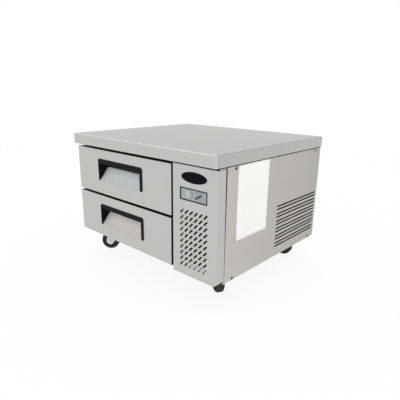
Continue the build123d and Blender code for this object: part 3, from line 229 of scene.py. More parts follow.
def brushedSteel(name, tone, grainAlong, rough=0.42, cloud=0.02, metal=1.0, light=None, trim=None):
    # brushed stainless: fine streaks along one axis, turned on the faces that look along it. Light and trim
    # are functions of the place and of how much a face looks along each axis: light adds painted light and shade,
    # and on the shell zinc spangles, to the shade, and trim is 1 where the steel ends in painted black shade
    material, shader, place = newFinish(name, {"Metallic": metal})
    looks = dict(zip("xyz", facing(place)))
    stretches = {}
    for axis, spot in zip("xyz", range(3)):
        stretches[axis] = tuple(brushed["grainShare"] if part == spot else 1.0 for part in range(3))
    turnedTo = {"x": "y", "y": "z", "z": "x"}[grainAlong]
    along = place.noise(brushed["grainScale"], *brushed["grainNoise"], stretches[grainAlong])
    turned = place.noise(brushed["grainScale"], *brushed["grainNoise"], stretches[turnedTo])
    grain = along + (turned - along) * (looks[grainAlong] > brushed["turnedFrom"])
    fine = place.noise(brushed["fineScale"], *brushed["fineNoise"], stretches[grainAlong])
    clouds = place.noise(brushed["cloudScale"])
    shade = 1.0 + (clouds - 0.5) * (2 * cloud) + (fine - 0.5) * brushed["fineTone"]
    shade = shade + (grain - 0.5) * brushed["grainTone"]
    if light:
        shade = shade + light(place, looks)
    mix = ((shade - brushed["darkest"]) / (brushed["lightest"] - brushed["darkest"])).clamp()
    links = {
        "Base Color": mix.blend(shaded(tone, brushed["darkest"]), shaded(tone, brushed["lightest"])),
        "Roughness": rough + (grain - 0.5) * brushed["grainRough"] + (clouds - 0.5) * brushed["cloudRough"],
        "Normal": bumped(place, grain, 1.0, brushed["grainBump"]),
    }
    # painted black shade where trim is 1
    if trim:
        black = trim(place, looks)
        links["Base Color"] = black.blend(links["Base Color"], (brushed["paintedShadeTone"],) * 3 + (1,))
        links["Roughness"] = links["Roughness"] + (brushed["paintedShadeRough"] - rough) * black
        links["Metallic"] = metal * (1.0 - black)
    feed(shader, place, links)
    return material


def spangles(place, scale):
    # zinc crystals: a random value for each cell
    return place.make("ShaderNodeTexVoronoi", {}, {"Vector": place, "Scale": scale}, output=1).split()[0]


zincSheet = {
    "metal": 0.85,
    "tones": (0.94, 1.06),  # shares of the tone between which the cells lie
    "rough": 0.45,
    "cellRough": 0.14,
    "gritScale": 500.0,
    "gritStrength": 0.3,
    "grit": 0.0001,
}


def galvanised(name, tone, cellScale, look):
    # zinc-coated sheet: spangles, each a slightly different grey
    material, shader, place = newFinish(name, {"Metallic": look["metal"]})
    shade = spangles(place, cellScale)
    dark, pale = look["tones"]
    links = {
        "Base Color": shade.blend(shaded(tone, dark), shaded(tone, pale)),
        "Roughness": look["rough"] + (shade - 0.5) * look["cellRough"],
        "Normal": bumped(place, place.noise(look["gritScale"]), look["gritStrength"], look["grit"]),
    }
    feed(shader, place, links)
    return material


coating = {
    "skinNoise": (3.0, 0.6),
    "skinRough": 0.08,
    "skinStrength": 0.2,
    "patchScale": 18.0,
    "patchNoise": (3.0, 0.55),
    "patchRough": 0.12,
}


def coated(name, tone, rough, grit=0.0, gritScale=900.0, metallic=0.0, mottled=0.08, coat=0.0, shine=0.4):
    # paint, zinc, rubber or moulded plastic: a fine skin texture and slightly uneven colour
    steady = {"Metallic": metallic, "Coat Weight": coat, "Specular IOR Level": shine}
    material, shader, place = newFinish(name, steady)
    skin = place.noise(gritScale, *coating["skinNoise"])
    patches = place.noise(coating["patchScale"], *coating["patchNoise"])
    links = {
        "Base Color": patches.clamp().blend(shaded(tone, 1 - mottled), shaded(tone, 1 + mottled)),
        "Roughness": rough + (patches - 0.5) * coating["patchRough"] + (skin - 0.5) * coating["skinRough"],
        "Normal": bumped(place, skin, coating["skinStrength"], grit),
    }
    feed(shader, place, links)
    return material


def wheelRubber(name, centre, axis, radius, look):
    # rubber tyre: a painted highlight ring on its sides, a pale hub and dust on its tread, by distance from the
    # axle
    material, shader, place = newFinish(name, {"Specular IOR Level": look["shine"]})
    fromAxle = place.vector("SUBTRACT", centre)
    along = fromAxle.vector("DOT_PRODUCT", axis, output=1)
    reach = fromAxle.make("ShaderNodeVectorMath", {"operation": "LENGTH"}, {0: fromAxle}, output=1)
    out = (reach * reach - along * along).maths("SQRT") / radius
    tread = out > look["treadFrom"]
    ring = ((out > look["ringFrom"]) * (out < look["ringTo"])).clamp()
    hub = out < look["hubTo"]
    dust = place.noise(look["dustScale"], *look["dustNoise"])
    skin = place.noise(look["skinScale"])
    dark, pale = look["dusty"]
    base = dust.clamp().blend(shaded(look["rubber"], dark), shaded(look["rubber"], pale))
    dusty = tread.blend(base, shaded(look["treadTone"]))
    # painted highlight: a lighter ring on the tyre's sides
    ringed = ring.blend(dusty, shaded(look["ringHighlightTone"]))
    links = {
        "Base Color": hub.blend(ringed, shaded(look["hubTone"])),
        "Roughness": look["rough"] + (skin - 0.5) * look["skinRough"],
        "Normal": bumped(place, skin + ring * look["ringRise"], look["reliefStrength"], look["relief"]),
    }
    feed(shader, place, links)
    return material


fins = {
    "metal": 0.9,
    "pitch": 0.0024,
    "wave": 0.25,  # the shade is a share of the fins' wave, a middle value and a share of dust
    "middle": 0.45,
    "dust": 0.3,
    "dustScale": 40.0,
    "dustNoise": (3.0, 0.6),
    "tones": (0.35, 1.2),
    "rough": 0.5,
    "dustRough": 0.2,
    "strength": 0.4,
    "depthShare": 0.25,  # of the pitch
}


def finnedMetal(name, tone, look):
    # a block of thin fins: painted shade in the gaps between painted highlights on the edges, repeated across x,
    # with dust
    material, shader, place = newFinish(name, {"Metallic": look["metal"]})
    across = place.split()[0]
    wave = (across * (2 * math.pi / look["pitch"])).maths("SINE")
    dust = place.noise(look["dustScale"], *look["dustNoise"])
    shade = (wave * look["wave"] + look["middle"] + dust * look["dust"]).clamp()
    dark, pale = look["tones"]
    links = {
        "Base Color": shade.blend(shaded(tone, dark), shaded(tone, pale)),
        "Roughness": look["rough"] + (dust - 0.5) * look["dustRough"],
        "Normal": bumped(place, wave, look["strength"], look["pitch"] * look["depthShare"]),
    }
    feed(shader, place, links)
    return material


frontTone = (0.565, 0.565, 0.562)
sideTone = (0.52, 0.515, 0.5)
lightShares = {
    "top": -0.127,  # painted shade: how much darker the worktop's top is than its front
    # painted shade: how much darker the worktop's flank is than its front
    "flank": -0.08,
    "foldWidth": 0.0035,
    "foldHighlight": 0.28,  # painted highlight along the front's folded edges
    # painted shade along the flank's top fold
    "flankFoldShade": -0.12,
    "panelFront": 0.1,  # painted shade: the side panel gets darker towards the back
    "panelBack": -0.11,
    "spangle": 0.12,
    "spangleScale": 170.0,
    "backFrom": 0.7,  # faces that look backwards by more than this are zinc-coated
    "seamWidth": 0.0012,  # of the painted black shadow along a fold
    "seamReach": 0.02,  # how far in from the cabinet's side and below its top
    "wallFrom": 0.5,  # slot walls, painted black as shadow, look up by more than this
}


def worktopLight(place, looks):
    # painted light and shade: a highlight line along the front's top fold and corner, a shade line along the
    # flank's top fold, and the top and the flank darker than the front
    x, y, z = place.split()
    low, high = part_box("worktop")
    width = lightShares["foldWidth"]
    nearTop, nearFront, nearSide = z > high.z - width, y < low.y + width, x > high.x - width
    foldHighlight = nearFront * nearTop.most(nearSide) * lightShares["foldHighlight"]
    flankFoldShade = nearSide * nearTop * (1.0 - nearFront) * lightShares["flankFoldShade"]
    return looks["z"] * lightShares["top"] + looks["x"] * lightShares["flank"] + foldHighlight + flankFoldShade


def panelLight(place, looks):
    # painted light and shade: paler towards the panel's front, darker towards its back
    low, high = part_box("side_panel")
    back = ((place.split()[1] - low.y) / (high.y - low.y)).clamp()
    return back * (lightShares["panelBack"] - lightShares["panelFront"]) + lightShares["panelFront"]


def shadedFolds(node, seam):
    # the folds of the cover and the panel at their seam and under the worktop, and the walls of their slots,
    # lie in black shadow; seam is 1 where the piece ends at the back and -1 where it starts at the front
    low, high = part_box(node)
    width = lightShares["seamWidth"]
    y = high.y if seam > 0 else low.y

    def trim(place, looks):
        parts = place.split()
        atSeam = (abs(parts[1] - y) < width) * (parts[0] > high.x - lightShares["seamReach"])
        cut = (looks["z"] > lightShares["wallFrom"]) * (parts[2] < high.z - lightShares["seamReach"])
        return (parts[2] > high.z - width).most(atSeam).most(cut)

    return trim


def shellLight(place, looks):
    # brushed at the side and zinc-coated at the back
    zinc = spangles(place, lightShares["spangleScale"]) - 0.5
    return zinc * (looks["y"] > lightShares["backFrom"]) * lightShares["spangle"]


def shadedTop(place, looks):
    # painted shadow: everything behind the gap under the worktop is painted black
    return place.split()[2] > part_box("machine_cover")[1].z


coverFolds = shadedFolds("machine_cover", 1)
panelFolds = shadedFolds("side_panel", -1)
finishes = {
    "worktop_steel": brushedSteel("worktopSteel", frontTone, "x"),
    "front_steel": brushedSteel("frontSteel", frontTone, "x"),
    "cover_steel": brushedSteel("coverSteel", frontTone, "z", trim=coverFolds),
    "panel_steel": brushedSteel("panelSteel", sideTone, "y", light=panelLight, trim=panelFolds),
    "inner_steel": brushedSteel("innerSteel", (0.5, 0.5, 0.5), "x", 0.45, trim=shadedTop),
    "shell_steel": brushedSteel("shellSteel", sideTone, "y", light=shellLight),
    "foam": coated("foamBoard", (0.85, 0.8, 0.62), 0.9, 0.0006, 300.0),
    "drawer_liner": coated("drawerLiner", (0.42, 0.43, 0.43), 0.5, 0.0002),
    "handle_black": coated("handleBlack", (0.0065, 0.0065, 0.0078), 0.55, 0.0002, shine=0.08),
    "seal_rubber": coated("sealRubber", (0.012, 0.012, 0.012), 0.75, 0.0002, shine=0.15),
    "slide_zinc": coated("slideZinc", (0.6, 0.61, 0.63), 0.38, 0.0001, metallic=1.0),
    "frame_black": coated("frameBlack", (0.01, 0.01, 0.01), 0.5, 0.0002, shine=0.15),
    "screw_steel": coated("screwSteel", (0.006, 0.006, 0.006), 0.4, 0.0001, shine=0.15),
    "badge_black": coated("badgeBlack", (0.003, 0.003, 0.005), 0.35, 0.00005, 700.0, shine=0.05),
    "bezel_black": coated("bezelBlack", (0.008, 0.008, 0.009), 0.45, 0.0001, shine=0.12),
    "plate_grey": coated("plateGrey", (0.38, 0.385, 0.4), 0.45, 0.0001, shine=0.3),
    "lens_green": coated("lensGreen", (0.44, 0.52, 0.46), 0.3, 0.0, coat=0.2, shine=0.3),
    "dial_grey": coated("dialGrey", (0.4, 0.4, 0.41), 0.4, 0.0001, shine=0.3),
    "compressor_black": coated("compressorBlack", (0.012, 0.012, 0.012), 0.35, 0.0003, 250.0, coat=0.3),
    "coil_aluminium": finnedMetal("coilAluminium", (0.5, 0.51, 0.52), fins),
    "shroud_zinc": galvanised("shroudZinc", (0.5, 0.51, 0.52), 110.0, zincSheet),
    "motor_black": coated("motorBlack", (0.03, 0.03, 0.03), 0.45, 0.0003),
    "fan_plastic": coated("fanPlastic", (0.02, 0.02, 0.02), 0.5, 0.0002),
    "line_copper": coated("lineCopper", (0.65, 0.3, 0.16), 0.3, 0.0001, metallic=1.0),
    "box_grey": coated("boxGrey", (0.16, 0.17, 0.18), 0.5, 0.0002),
    "caster_zinc": coated("casterZinc", (0.8, 0.8, 0.8), 0.4, 0.0001, metallic=0.7),
    "wheel_black": coated("wheelBlack", (0.012, 0.012, 0.012), 0.6, 0.0002, shine=0.25),
}
slotOf = {part["node"]: part["material_slot"] for part in frame["record"]["subparts"]}

# Drawer fronts are painted black as the shade in their gaps, a little behind their face and in a strip at their
# right end; the sloping plate's upright faces are painted black as the shade under the grip
drawerEdge = {
    "steelDepth": 0.0008,
    "endStrip": 0.001,
    "lowerStrip": 0.0016,  # how much wider the strip is on the lower drawer
    "returnTo": 0.5,  # faces that look forwards by less than this are the fronts' returns
    "uprightFrom": 0.9,
    "plateFoot": -0.14,  # what the plate's light adds to its shade at its foot and its head
    "plateHead": 0.7,
    "plateRise": 0.058,
}


def blackReturns(place, looks):
    x, y, z = place.split()
    low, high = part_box("upper_front_skin")
    strip = (z < low.z) * drawerEdge["lowerStrip"] + drawerEdge["endStrip"]
    returns = (y > low.y + drawerEdge["steelDepth"]) * (looks["y"] < drawerEdge["returnTo"])
    return (returns + (x + strip > high.x)).clamp()


def blackUpright(place, looks):
    return looks["y"] > drawerEdge["uprightFrom"]


def plateLight(drawer):
    # the plate is paler towards its head, against the grip's shadow there
    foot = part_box(drawer + "_handle_plate")[0].z

    def light(place, looks):
        up = ((place.split()[2] - foot) / drawerEdge["plateRise"]).clamp()
        return up * up * (drawerEdge["plateHead"] - drawerEdge["plateFoot"]) + drawerEdge["plateFoot"]

    return light


plateFinishes = {
    drawer + "_handle_plate": brushedSteel(
        drawer + "HandlePlate", plateTone, "x", metal=0.0, light=plateLight(drawer), trim=blackUpright
    )
    for drawer, plateTone in (("upper", (0.62, 0.625, 0.63)), ("lower", (0.64, 0.625, 0.61)))
}
skinFinish = brushedSteel("frontSkin", frontTone, "x", trim=blackReturns)


def dialFinish(name, node, look):
    # a grey dial whose bar, its foremost part, is painted dark as the bar's shadow, and whose flanks are painted
    # pale against their shade
    material, shader, place = newFinish(name, {"Specular IOR Level": look["shine"]})
    bar = place.split()[1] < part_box(node)[0].y + look["barHeight"]
    flank = facing(place)[1] < look["flankTo"]
    skin = place.noise(look["skinScale"])
    disc = flank.blend(shaded(look["disc"]), shaded(look["flank"]))
    tone = bar.blend(disc, shaded(look["bar"]))
    feed(shader, place, {"Base Color": tone, "Roughness": look["rough"] + skin * look["skinRough"]})
    return material


def lensFinish(name, node, look):
    # tinted glass, palest down its middle
    material, shader, place = newFinish(name, {"Specular IOR Level": look["shine"]})
    low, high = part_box(node)
    out = (abs(place.split()[0] - (low.x + high.x) / 2) / ((high.x - low.x) / 2)).clamp()
    haze = place.noise(look["hazeScale"])
    tone = (out * out).blend(shaded(look["middle"]), shaded(look["rim"]))
    feed(shader, place, {"Base Color": tone, "Roughness": look["rough"] + haze * look["hazeRough"]})
    return material


lens = {
    "middle": (0.44, 0.51, 0.46),
    "rim": (0.26, 0.29, 0.275),
    "shine": 0.2,
    "rough": 0.25,
    "hazeScale": 120.0,
    "hazeRough": 0.1,
}
dial = {
    "disc": (0.36, 0.36, 0.375),
    # painted light: the flanks are pale against their shade
    "flank": (0.75, 0.75, 0.76),
    "flankTo": 0.5,
    # painted shadow of the bar
    "bar": (0.05, 0.05, 0.05),
    "barHeight": 0.0035,
    "shine": 0.2,
    "rough": 0.4,
    "skinScale": 900.0,
    "skinRough": 0.1,
}
ownFinish = {
    "worktop": brushedSteel("worktopFold", frontTone, "x", light=worktopLight),
    # painted shade: the condenser's fins are near black, as the shade behind the grille's slots
    "condenser_coil": finnedMetal("condenserFins", (0.1, 0.1, 0.1), fins),
    "thermostat_knob": dialFinish("dialFace", "thermostat_knob", dial),
    "display_lens": lensFinish("lensGlass", "display_lens", lens),
    "upper_front_skin": skinFinish,
    "lower_front_skin": skinFinish,
    **plateFinishes,
}
for nodeName, node in nodes.items():
    node.data.materials.clear()
    node.data.materials.append(ownFinish.get(nodeName, finishes[slotOf[nodeName]]))
print("finishes made:", len(finishes) + len(ownFinish))

# Casters: each wheel's rings lie round its own axle, at shares of its radius
wheelLook = {
    "treadFrom": 0.975,
    "ringFrom": 0.78,
    "ringTo": 0.96,
    "hubTo": 0.36,
    "rubber": (0.012, 0.012, 0.012),
    "treadTone": (0.045, 0.045, 0.045),
    "ringHighlightTone": (0.07, 0.07, 0.07),
    "hubTone": (0.6, 0.6, 0.6),
    "dusty": (0.7, 1.4),
    "dustScale": 60.0,
    "dustNoise": (3.0, 0.6),
    "shine": 0.15,
    "rough": 0.62,
    "skinScale": 1200.0,
    "skinRough": 0.2,
    "ringRise": 0.8,
    "reliefStrength": 0.4,
    "relief": 0.0003,
}
joints = {joint["name"]: joint for joint in frame["joints"]}
for corner in ("front_left", "front_right", "rear_left", "rear_right"):
    roll = joints[corner + "_roll"]
    low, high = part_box(corner + "_wheel")
    centre, axis, radius = tuple(roll["pos_m"]), tuple(roll["axis"]), (high.z - low.z) / 2
    nodes[corner + "_wheel"].data.materials[0] = wheelRubber(corner + "Tyre", centre, axis, radius, wheelLook)
print("tyres ringed")


# New pieces: surfaces on a grid of points, worked out as whole arrays
weldDistance = 1e-6


def gridPiece(name, grids, finish, body, wrapRows=False, wrapColumns=False, smooth=True):
    # grids is an array of points, copies x rows x columns x 3; each cell of a grid becomes one face
    grids = np.asarray(grids, float)
    copies, rows, columns = grids.shape[:3]
    number = np.arange(copies * rows * columns).reshape(copies, rows, columns)
    if wrapRows:
        number = np.concatenate([number, number[:, :1]], axis=1)
    if wrapColumns:
        number = np.concatenate([number, number[:, :, :1]], axis=2)
    cells = (number[:, :-1, :-1], number[:, 1:, :-1], number[:, 1:, 1:], number[:, :-1, 1:])
    faces = np.stack([cell.ravel() for cell in cells], axis=1)
    mesh = bpy.data.meshes.new(name)
    mesh.from_pydata(grids.reshape(-1, 3).tolist(), [], faces.tolist())
    shape = bmesh.new()
    shape.from_mesh(mesh)
    bmesh.ops.remove_doubles(shape, verts=shape.verts, dist=weldDistance)
    bmesh.ops.recalc_face_normals(shape, faces=shape.faces)
    shape.to_mesh(mesh)
    shape.free()
    mesh.polygons.foreach_set("use_smooth", [smooth] * len(mesh.polygons))
    mesh.materials.append(finish)
    piece = bpy.data.objects.new(name, mesh)
    scene.collection.objects.link(piece)
    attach(piece, body)
    return piece


def capped(sections):
    # a run of closed sections, each end drawn together in its middle point
    ends = [np.repeat(sections[k].mean(axis=0)[None], sections.shape[1], axis=0)[None] for k in (0, -1)]
    return np.concatenate([ends[0], sections, ends[1]], axis=0)[None]


# Bare white sheet on the side panel, its corners lifted a little
sheetCard = {
    "front": -0.276,
    "back": -0.063,
    "low": 0.2805,
    "high": 0.5825,
    "gap": 0.0001,  # behind it
    "lift": 0.0012,  # of the corners
    "liftPower": 8,
    "thick": 0.0003,
    "tone": (0.97, 0.965, 0.96),
    "cells": 24,
}


def makeSheetCard(look):
    # x stands off the panel by the gap, and towards the corners by the lift times a high power of the
    # distance from each middle line
    across, up = np.meshgrid(np.linspace(0, 1, look["cells"]), np.linspace(0, 1, look["cells"]))
    y = look["front"] + (look["back"] - look["front"]) * across
    z = look["low"] + (look["high"] - look["low"]) * up
    corner = np.abs(2 * across - 1) ** look["liftPower"] * np.abs(2 * up - 1) ** look["liftPower"]
    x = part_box("side_panel")[1].x + look["gap"] + look["lift"] * corner
    finish = coated("sheetCard", look["tone"], 0.5, 0.00005, 1400.0, mottled=0.015, shine=0.3)
    card = gridPiece("dataSheet", np.stack([x, y, z], axis=2)[None], finish, "cabinet")
    wall = card.modifiers.new("wall", "SOLIDIFY")
    wall.thickness = look["thick"]
    wall.offset = 1.0


makeSheetCard(sheetCard)
print("sheet made")

# Screws in the side panel: domed heads with a cross recess
screwHead = {
    "radius": 0.0062,
    "inset": 0.0055,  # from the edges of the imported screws' box to the screws' middles
    "rise": 0.0022,
    "sink": 0.0005,  # of the rim into the panel
    "crossLength": 0.0034,
    "crossWidth": 0.0006,
    "crossDepth": 0.0012,
    "rings": 30,
    "spokes": 64,
}


def screwHeads(places, out, look):
    # a dome that falls off with the square of the distance from its middle, lowered inside the arms of the
    # cross, carried to each place; out is the axis that the heads look along
    turns = np.linspace(0, 2 * np.pi, look["spokes"], False)
    reach, turn = np.meshgrid(np.linspace(0, 1, look["rings"]), turns)
    first = reach * look["radius"] * np.cos(turn)
    second = reach * look["radius"] * np.sin(turn)
    rise = look["rise"] * (1 - reach**2)
    narrow, wide = look["crossWidth"], look["crossLength"]
    inArm = ((abs(first) < narrow) & (abs(second) < wide)) | ((abs(second) < narrow) & (abs(first) < wide))
    rise = rise - look["crossDepth"] * inArm
    flat = np.stack([first, second], axis=2)
    flat = np.concatenate([flat, flat[:, -1:], 0 * flat[:, -1:]], axis=1)
    sunk = np.full_like(rise[:, -1:], -look["sink"])
    rise = np.concatenate([rise, sunk, sunk], axis=1)
    out = np.array(out, float)
    firstAxis = np.roll(np.abs(out), 1)
    secondAxis = np.cross(out, firstAxis)
    head = flat[..., :1] * firstAxis + flat[..., 1:] * secondAxis + rise[..., None] * out
    return np.asarray(places, float)[:, None, None, :] + head[None]


def panelScrewPlaces(look):
    low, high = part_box("panel_screws")
    face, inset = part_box("side_panel")[1].x, look["inset"]
    return [(face, y, z) for y in (low.y + inset, high.y - inset) for z in (low.z + inset, high.z - inset)]


screws = gridPiece(
    "panelScrewHeads",
    screwHeads(panelScrewPlaces(screwHead), (1, 0, 0), screwHead),
    finishes["screw_steel"],
    "cabinet",
    wrapRows=True,
)
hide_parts("panel_screws")

# Screws round the back panel
backScrews = {
    "inset": 0.008,
    "columns": 3,
    "rows": 4,
    "size": {**screwHead, "radius": 0.0038, "rise": 0.0016, "crossLength": 0.0022},
}


def backScrewPlaces(look):
    low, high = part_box("back_panel")
    inset = look["inset"]
    xs = np.linspace(low.x + inset, high.x - inset, look["columns"])
    zs = np.linspace(low.z + inset, high.z - inset, look["rows"])
    return [(x, high.y, z) for x in xs for z in zs if x in xs[[0, -1]] or z in zs[[0, -1]]]


gridPiece(
    "backScrewHeads",
    screwHeads(backScrewPlaces(backScrews), (0, 1, 0), backScrews["size"]),
    finishes["slide_zinc"],
    "cabinet",
    wrapRows=True,
)
print("screws made")

# Door seals: a folded bellows carried round each drawer's back
seal = {
    "footHalf": 0.0034,
    "pleat": 0.0024,
    "centre": 0.0035,  # from the seal's outer edge, at its foot
    "drift": 0.0024,  # how far the centre moves in towards its lip
    "halfTurns": 1.5,  # of the sine, over the seal's depth
    "least": 0.0001,  # distance from the outer edge
    "steps": 17,
}


def makeSeal(drawer, look):
    # down its depth the seal's half width is the foot's plus a pleat times the square of a sine, so it
    # pinches between two folds; that outline goes round the four mitred corners
    low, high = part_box(drawer + "_gasket")
    depth = np.linspace(0, 1, look["steps"])
    half = look["footHalf"] + look["pleat"] * np.sin(np.pi * look["halfTurns"] * depth) ** 2
    centre = look["centre"] + look["drift"] * depth
    inward = np.concatenate([centre - half, (centre + half)[::-1]])
    y = low.y + (high.y - low.y) * np.concatenate([depth, depth[::-1]])
    inward = np.maximum(inward, look["least"])
    left, right, bottom, top = low.x + inward, high.x - inward, low.z + inward, high.z - inward
    corners = ((left, bottom), (right, bottom), (right, top), (left, top))
    rings = [np.stack([x, y, z], axis=1) for x, z in corners]
    ring = gridPiece(
        drawer + "SealRing",
        np.stack(rings)[None],
        finishes["seal_rubber"],
        drawer + "_drawer",
        wrapRows=True,
        wrapColumns=True,
        smooth=False,
    )
    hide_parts(drawer + "_gasket")


for drawer in ("upper", "lower"):
    makeSeal(drawer, seal)
print("seals made")

# Handle rims: a black frame that turns in at both ends of the recess and runs down to the sloping plate
rim = {
    "left": 0.001,  # how far the frame reaches in from each end of the plate
    "right": 0.0105,
    "spread": 0.0018,  # beyond the grip at its left
    "rise": 0.0045,  # and above it
    "band": 0.0108,  # from the grip's top down to the frame's inner edge
    "outerRadius": 0.012,
    "innerRadius": 0.004,
    "proud": 0.0026,
    "bevel": 0.0006,
    "slopeRise": 0.058,
    "depth": 0.0495,  # of the slope behind the front, at its head
    "leastShare": 0.01,  # of the depth, at the legs' feet
    "cornerSteps": 8,
    "legSteps": 6,
}


def archPath(left, right, low, high, radius, look):
    # up the left leg, round a quarter circle, along the head, round another and down the right leg
    turn = np.linspace(0, np.pi / 2, look["cornerSteps"])
    sine, cosine = radius * np.sin(turn), radius * np.cos(turn)
    legs = np.linspace(low, high - radius, look["legSteps"])
    leftTurn = np.column_stack([left + radius - cosine, high - radius + sine])
    rightTurn = np.column_stack([right - radius + sine, high - radius + cosine])
    leftLeg = np.column_stack([np.full(len(legs), left), legs])
    rightLeg = np.column_stack([np.full(len(legs), right), legs[::-1]])
    return np.concatenate([leftLeg, leftTurn, rightTurn, rightLeg])


def makeRim(drawer, look):
    # between an outer and an inner arch: proud of the front with a bevel, then in along the recess's walls to
    # the depth of the slope at that height
    gripLow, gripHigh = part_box(drawer + "_handle_grip")
    plateLow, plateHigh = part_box(drawer + "_handle_plate")
    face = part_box(drawer + "_front_skin")[0].y
    low, outerTop, innerTop = gripLow.z, gripHigh.z + look["rise"], gripHigh.z - look["band"]
    outer = archPath(gripLow.x - look["spread"], gripHigh.x, low, outerTop, look["outerRadius"], look)
    left, right = plateLow.x + look["left"], plateHigh.x - look["right"]
    inner = archPath(left, right, low, innerTop, look["innerRadius"], look)
    slope = face + look["depth"] * np.clip((inner[:, 1] - low) / look["slopeRise"], look["leastShare"], 1)
    front, bevel = face - look["proud"], look["bevel"]
    toInner = (inner - outer) / np.linalg.norm(inner - outer, axis=1, keepdims=True)

    def ring(flat, y):
        return np.column_stack([flat[:, 0], np.broadcast_to(y, len(flat)), flat[:, 1]])

    rows = [
        ring(outer + toInner * bevel, face + bevel),
        ring(outer, front + bevel),
        ring(outer + toInner * bevel, front),
        ring(inner - toInner * bevel, front),
        ring(inner, front + bevel),
        ring(inner, slope),
        ring(inner - toInner * bevel, slope),
    ]
    gridPiece(
        drawer + "HandleRim",
        capped(np.stack(rows, axis=1)),
        finishes["handle_black"],
        drawer + "_drawer",
        wrapColumns=True,
        smooth=False,
    )


for drawer in ("upper", "lower"):
    makeRim(drawer, rim)
print("rims made")

# Trim at the machine cover: a lip that closes its seam towards the foot, one that rises round its top corner
# and one in the notch at its foot. The corner lips' heights are above the cover's top: their foot, their top
# in front and their top at the side
lipFinish = brushedSteel("lipSteel", frontTone, "z")
coverTrim = {
    "sheet": 0.0012,
    "inside": 0.0001,  # how far the lips stay clear of the cover's outer face
    "seamStart": 0.0015,
    "seamTop": -0.0011,  # the seam lip's reach past the cover at its top and its foot
    "seamFoot": 0.0045,
    "bend": 0.005,  # outer radius of the cover's corner
    "steps": 10,
}
topLip = {"reach": 0.022, "heights": (-0.0015, -0.00075, 0.0046), "finish": finishes["worktop_steel"]}
notchLip = {"reach": 0.0095, "heights": (-0.4435, -0.4367, -0.4367), "finish": lipFinish}


def makeSeamLip(look):
    # a strip in the plane of the cover's side, whose back edge runs straight from one reach to the other
    low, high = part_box("machine_cover")
    share = np.linspace(0, 1, look["steps"])
    z = high.z + (low.z - high.z) * share
    front = np.full(look["steps"], high.y - look["seamStart"])
    back = high.y + look["seamTop"] + (look["seamFoot"] - look["seamTop"]) * share
    outer = np.full(look["steps"], high.x + look["inside"])
    inner = outer - look["sheet"]
    corners = ((outer, front), (outer, back), (inner, back), (inner, front))
    grid = capped(np.stack([np.column_stack([x, y, z]) for x, y in corners], axis=1))
    gridPiece("coverSeamLip", grid, lipFinish, "cabinet", wrapColumns=True, smooth=False)


def makeCornerLip(name, look, own):
    # along the cover's outer outline: its front, a quarter circle and its side; the top rises by a smooth
    # step over the quarter circle
    low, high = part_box("machine_cover")
    bend, curve = look["bend"], look["bend"] - look["inside"]
    turn = np.linspace(0, np.pi / 2, look["steps"])
    start = [[high.x - bend - own["reach"], low.y + look["inside"]]]
    arc = np.column_stack([high.x - bend + curve * np.sin(turn), low.y + bend - curve * np.cos(turn)])
    end = [[high.x - look["inside"], high.y - look["inside"]]]
    outline = np.concatenate([start, arc, end])
    outward = np.concatenate([[[0, -1]], np.column_stack([np.sin(turn), -np.cos(turn)]), [[1, 0]]])
    share = np.concatenate([[0], np.linspace(0, 1, look["steps"]), [1]])
    footRise, frontRise, sideRise = own["heights"]
    top = high.z + frontRise + (sideRise - frontRise) * share**2 * (3 - 2 * share)
    foot = np.full(len(top), high.z + footRise)
    back = outline - outward * look["sheet"]
    corners = ((outline, foot), (outline, top), (back, top), (back, foot))
    grid = capped(np.stack([np.column_stack([flat, z]) for flat, z in corners], axis=1))
    gridPiece(name, grid, own["finish"], "cabinet", wrapColumns=True, smooth=False)


makeSeamLip(coverTrim)
makeCornerLip("coverTopLip", coverTrim, topLip)
makeCornerLip("coverNotchLip", coverTrim, notchLip)

# Pale lip of the filter's rail, behind the lowest slots
railLip = {
    "sheet": 0.0012,
    "start": 0.0546,  # from the rail's left end
    "back": 0.0068,  # from the rail's back to the lip's
    "low": 0.0035,
    "high": 0.0125,
    "bend": 0.0025,
    "steps": 10,
    "tone": (0.62, 0.625, 0.625),
}


def makeRailLip(look):
    # a hook in section: forwards from the rail's foot, round a quarter circle and up behind the slots
    low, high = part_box("filter_rail")
    front, base, crest = high.y - look["sheet"] - look["back"], low.z + look["low"], low.z + look["high"]
    bend = look["bend"]
    turn = np.linspace(0, np.pi / 2, look["steps"])
    arc = np.column_stack([front + bend - bend * np.sin(turn), base + bend - bend * np.cos(turn)])
    spine = np.concatenate([[[high.y, base]], arc, [[front, crest]]])
    across = np.concatenate([[[0, 1]], np.column_stack([np.sin(turn), np.cos(turn)]), [[1, 0]]])
    section = np.concatenate([spine, (spine + across * look["sheet"])[::-1]])
    sections = [np.column_stack([np.full(len(section), x), section]) for x in (low.x + look["start"], high.x)]
    finish = coated("railLipPale", look["tone"], 0.5, 0.0001)
    grid = capped(np.stack(sections))
    gridPiece("filterRailLip", grid, finish, "cabinet", wrapColumns=True, smooth=False)


makeRailLip(railLip)
print("trim made")

# Studio: a pale floor and a soft white world
studio = {
    "floorHalf": 6.0,
    "floorTone": 0.92,
    "floorPale": 1.04,  # share of the tone at its palest
    "floorPlain": 0.9,  # how much of the floor is plain white to the camera; the rest keeps the shadow
    "floorRough": 0.8,
    "floorShine": 0.2,
    "speckleScale": 40.0,
    "worldTone": 1.0,
    "keyPlace": (-1.2, -2.4, 2.6),
    "keyTarget": (0, 0, 0.3),
    "keySize": 2.0,
    "keyPower": 9.0,
}


def whiteRays(tree):
    # 1 for what the camera sees, straight or in a reflection or through glass
    ray = tree.nodes.new("ShaderNodeLightPath")
    seen, glossy, clear = (
        Flow(tree, ray.outputs[name]) for name in ("Is Camera Ray", "Is Glossy Ray", "Is Transmission Ray")
    )
    return seen.most(glossy).most(clear)


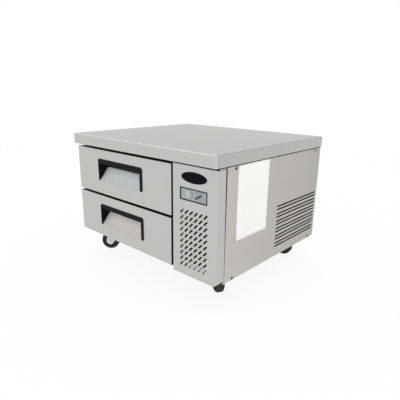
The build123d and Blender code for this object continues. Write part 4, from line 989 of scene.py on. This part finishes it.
def paleFloor(look):
    half = look["floorHalf"]
    mesh = bpy.data.meshes.new("floor")
    corners = [(-half, -half, 0), (half, -half, 0), (half, half, 0), (-half, half, 0)]
    mesh.from_pydata(corners, [], [(0, 1, 2, 3)])
    floor = bpy.data.objects.new("floor", mesh)
    scene.collection.objects.link(floor)
    steady = {"Roughness": look["floorRough"], "Specular IOR Level": look["floorShine"]}
    material, shader, place = newFinish("floorPaper", steady)
    tree = place.tree
    speckle = place.noise(look["speckleScale"]).clamp()
    tone = (look["floorTone"],) * 3
    feed(shader, place, {"Base Color": speckle.blend(shaded(tone), shaded(tone, look["floorPale"]))})
    plain = place.make("ShaderNodeEmission", {}, {"Color": (1, 1, 1, 1), "Strength": 1.0})
    mixed = place.make(
        "ShaderNodeMixShader",
        {},
        {0: whiteRays(tree) * look["floorPlain"], 1: Flow(tree, shader.outputs[0]), 2: plain},
    )
    out = next(node for node in tree.nodes if node.type == "OUTPUT_MATERIAL")
    tree.links.new(mixed.socket, out.inputs[0])
    mesh.materials.append(material)


def softWorld(look):
    # soft light on the object, plain white to the camera and in its reflections
    world = bpy.data.worlds.new("softWorld")
    world.use_nodes = True
    scene.world = world
    tree = world.node_tree
    tree.nodes.clear()
    out = tree.nodes.new("ShaderNodeOutputWorld")
    white = whiteRays(tree)
    lit = white.make("ShaderNodeBackground", {}, {"Color": (1, 1, 1, 1), "Strength": look["worldTone"]})
    plain = white.make("ShaderNodeBackground", {}, {"Color": (1, 1, 1, 1), "Strength": 1.0})
    tree.links.new(white.make("ShaderNodeMixShader", {}, {0: white, 1: lit, 2: plain}).socket, out.inputs[0])


def keyLamp(look):
    data = bpy.data.lights.new("keyLamp", "AREA")
    data.shape = "SQUARE"
    data.size = look["keySize"]
    data.energy = look["keyPower"]
    lamp = bpy.data.objects.new("keyLamp", data)
    lamp.location = look["keyPlace"]
    towards = Vector(look["keyTarget"]) - Vector(look["keyPlace"])
    lamp.rotation_euler = towards.to_track_quat("-Z", "Y").to_euler()
    scene.collection.objects.link(lamp)


paleFloor(studio)
softWorld(studio)
keyLamp(studio)
scene.view_settings.view_transform = "Standard"
print("studio set")
